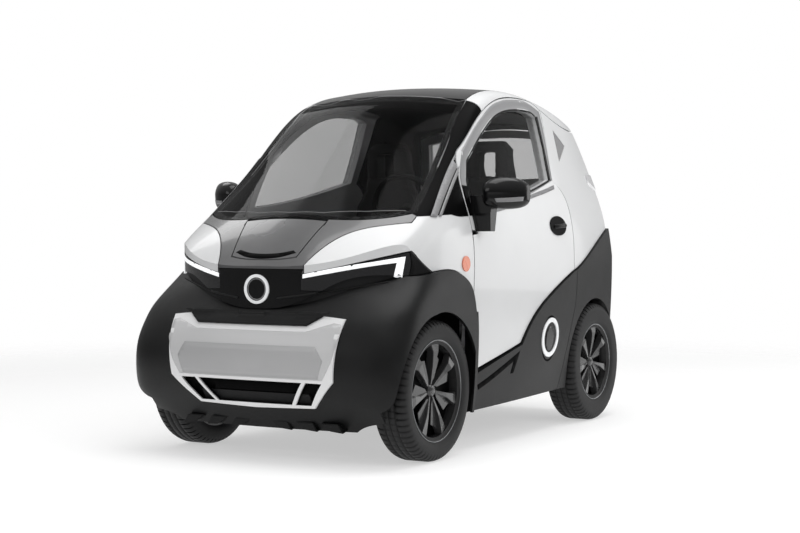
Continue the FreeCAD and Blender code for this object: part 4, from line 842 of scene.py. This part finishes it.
rimTree = aroundAxle("rimAround", rimPaint)
for spot, lip, axle in (("front", rimSizes["lipFront"], tyreSizes["frontAxle"]),
                        ("rear", rimSizes["lipRear"], tyreSizes["rearAxle"])):
    body = "wheel_%s_%%s" % spot
    spokes = repeated(rimSector(lip / rimSizes["lipFront"]), rimTree, rimSizes["spokes"], 0.00001)
    face = rimSizes["face"]
    barrel = turned([(lip, face), (lip - 0.003, face + 0.0015), (lip - 0.006, face - 0.001),
                     (lip - 0.009, face - 0.014), (lip - 0.014, 0.030), (lip - 0.017, -0.045),
                     (lip - 0.008, -face), (lip, -face), (lip - 0.006, -0.052),
                     (lip - 0.013, -0.040), (lip - 0.009, 0.030), (lip - 0.003, face - 0.012)])
    cap = turned([(0.0, 0.051), (0.012, 0.050), (0.021, 0.046), (0.026, 0.038), (0.030, 0.014),
                  (0.0, 0.014)], 48)
    whole = joined([spokes, barrel, cap])
    whole.transform(Matrix.Translation(axle))
    pair = bothSides("rim" + spot.title(), whole, rimPaint, body, smooth=False)
    for rim, word in zip(pair, ("left", "right")):
        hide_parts("rim_%s_%s" % (spot, word))
    dishR, low, high = lip - rimSizes["dishInset"], rimSizes["dishBack"], rimSizes["dishFront"]
    dish = turned([(0.0, low), (dishR, low), (dishR, high), (0.0, high)])
    dish.transform(Matrix.Translation(axle))
    bothSides("rimDish" + spot.title(), dish, stripBlack, body, smooth=False)
    edgeR, count = lip - rimSizes["edgeInset"], rimSizes["edgeSteps"]
    edge = [Vector((axle[0] + edgeR * math.sin(2 * math.pi * k / count),
                    axle[1] + face + rimSizes["edgeLift"],
                    axle[2] + edgeR * math.cos(2 * math.pi * k / count)))
            for k in range(count)]
    bothSides("rimLip" + spot.title(), swept(edge, rimSizes["edge"], 8, closed=True), steel,
              body)
print("trim placed")

# Seats: the CAD seat blown up as cloth, so that its faces crown and its edges pull in
seat = {"voxel": 0.006, "shrink": 0.010, "pressure": 4.0, "frames": 20, "cap": 0.012}


def seatPad(node):
    holder = linked("seatWork", nodes[node].data.copy())
    remesh = holder.modifiers.new("remesh", "REMESH")
    remesh.mode = "VOXEL"
    remesh.voxel_size = seat["voxel"] * 1
    mesh = evaluated(holder)
    holder.modifiers.clear()
    holder.data = mesh
    normals = [v.normal.copy() for v in mesh.vertices]
    for v, normal in zip(mesh.vertices, normals):
        v.co -= normal * seat["shrink"]
    start = [v.co.copy() for v in mesh.vertices]
    cloth = holder.modifiers.new("pad", "CLOTH")
    cloth.settings.use_pressure = True
    cloth.settings.uniform_pressure_force = seat["pressure"]
    cloth.settings.effector_weights.gravity = 0.0
    cloth.point_cache.frame_start = 1
    cloth.point_cache.frame_end = seat["frames"]
    for n in range(1, seat["frames"] + 1):
        bpy.context.scene.frame_set(n)
    blown = evaluated(holder)
    bpy.context.scene.frame_set(1)
    for v, origin in zip(blown.vertices, start):
        move = v.co - origin
        if move.length > seat["cap"]:
            v.co = origin + move.normalized() * seat["cap"]
    holder.modifiers.clear()
    bpy.data.objects.remove(holder)
    return blown


padMesh = seatPad("seat_left")
padLeft = piece("seatPadLeft", padMesh, seatLeather, "car")
padRight = piece("seatPadRight", mirrorMesh(padMesh), seatLeather, "car")
for pad, node in ((padLeft, "seat_left"), (padRight, "seat_right")):
    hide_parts(node)
print("seats padded")

# Studio: a pale floor that fades into a white surround, and soft boxes
studio = {"floor": 0.55, "glow": 0.50, "clearFrom": 3.2, "clearTo": 6.5, "surround": 1.0,
          "zenith": 0.70, "horizon": 0.20, "top": 92.0, "side": 62.0, "front": 34.0,
          "behind": 48.0, "screen": 26.0, "half": 7.0, "skyTop": 0.8}
floorMaterial, floorTree, floorShader = newMaterial("studioWhite")
floorShader.inputs["Base Color"].default_value = (studio["floor"],) * 3 + (1,)
floorShader.inputs["Roughness"].default_value = 0.9
floorShader.inputs["Specular IOR Level"].default_value = 0.1
floorShader.inputs["Emission Color"].default_value = (1, 1, 1, 1)
floorShader.inputs["Emission Strength"].default_value = studio["glow"]
coordinates = floorTree.nodes.new("ShaderNodeTexCoord")
reach = floorTree.nodes.new("ShaderNodeVectorMath")
reach.operation = "LENGTH"
fade = floorTree.nodes.new("ShaderNodeMapRange")
fade.interpolation_type = "SMOOTHSTEP"
fade.inputs["From Min"].default_value = studio["clearFrom"]
fade.inputs["From Max"].default_value = studio["clearTo"]
clearFloor = floorTree.nodes.new("ShaderNodeBsdfTransparent")
mixFloor = floorTree.nodes.new("ShaderNodeMixShader")
floorTree.links.new(coordinates.outputs["Object"], reach.inputs[0])
floorTree.links.new(reach.outputs["Value"], fade.inputs["Value"])
floorTree.links.new(fade.outputs["Result"], mixFloor.inputs["Fac"])
floorTree.links.new(floorShader.outputs["BSDF"], mixFloor.inputs[1])
floorTree.links.new(clearFloor.outputs["BSDF"], mixFloor.inputs[2])
floorTree.links.new(mixFloor.outputs["Shader"],
                    floorTree.nodes["Material Output"].inputs["Surface"])
work = bmesh.new()
for x, y in ((-1, -1), (1, -1), (1, 1), (-1, 1)):
    work.verts.new((x * studio["half"], y * studio["half"], 0))
work.faces.new(work.verts[:])
floor = linked("studioFloor", meshFrom(work, "studioFloor"))
floor.data.materials.append(floorMaterial)

# White behind the car, and a dimmer sky that lights it, darker towards the horizon.
world = bpy.data.worlds.new("studio")
bpy.context.scene.world = world
world.use_nodes = True
sky = world.node_tree
lit = sky.nodes["Background"]
seen = sky.nodes.new("ShaderNodeBackground")
seen.inputs["Strength"].default_value = studio["surround"]
seen.inputs["Color"].default_value = (1, 1, 1, 1)
skyPlace = sky.nodes.new("ShaderNodeTexCoord")
skyAxes = sky.nodes.new("ShaderNodeSeparateXYZ")
skyRamp = sky.nodes.new("ShaderNodeMapRange")
skyRamp.inputs["From Min"].default_value = 0.0
skyRamp.inputs["From Max"].default_value = studio["skyTop"]
skyRamp.inputs["To Min"].default_value = studio["horizon"]
skyRamp.inputs["To Max"].default_value = studio["zenith"]
rays = sky.nodes.new("ShaderNodeLightPath")
mixSky = sky.nodes.new("ShaderNodeMixShader")
lit.inputs["Color"].default_value = (1, 1, 1, 1)
sky.links.new(skyPlace.outputs["Generated"], skyAxes.inputs["Vector"])
sky.links.new(skyAxes.outputs["Z"], skyRamp.inputs["Value"])
sky.links.new(skyRamp.outputs["Result"], lit.inputs["Strength"])
sky.links.new(rays.outputs["Is Camera Ray"], mixSky.inputs["Fac"])
sky.links.new(lit.outputs["Background"], mixSky.inputs[1])
sky.links.new(seen.outputs["Background"], mixSky.inputs[2])
sky.links.new(mixSky.outputs["Shader"], sky.nodes["World Output"].inputs["Surface"])


def softBox(name, place, aim, size, power, mirrored=True, lighting=True):
    # mirrored: seen in reflections; lighting: lights what is matt
    light = linked(name, bpy.data.lights.new(name, "AREA"))
    light.data.shape = "RECTANGLE"
    light.data.size, light.data.size_y = size
    light.data.energy = power
    light.visible_glossy = mirrored
    light.visible_diffuse = lighting
    light.location = place
    light.rotation_euler = (Vector(aim) - Vector(place)).to_track_quat("-Z", "Y").to_euler()


softBox("topBox", (0.2, 0.6, 4.2), (0, 0.2, 0.5), (4.0, 2.4), studio["top"])
softBox("leftBox", (1.0, 5.0, 2.6), (0, 0, 0.8), (3.5, 2.0), studio["side"], mirrored=False)
softBox("behindBox", (-4.6, 3.6, 1.7), (0, 0.3, 0.8), (3.6, 3.0), studio["behind"])
softBox("frontBox", (5.5, -2.5, 2.4), (0.4, 0, 0.7), (3.0, 2.0), studio["front"])
softBox("screenBox", (-0.6, -2.6, 3.6), (0.5, -0.2, 1.2), (2.0, 1.6), studio["screen"],
        lighting=False)
print("studio set")
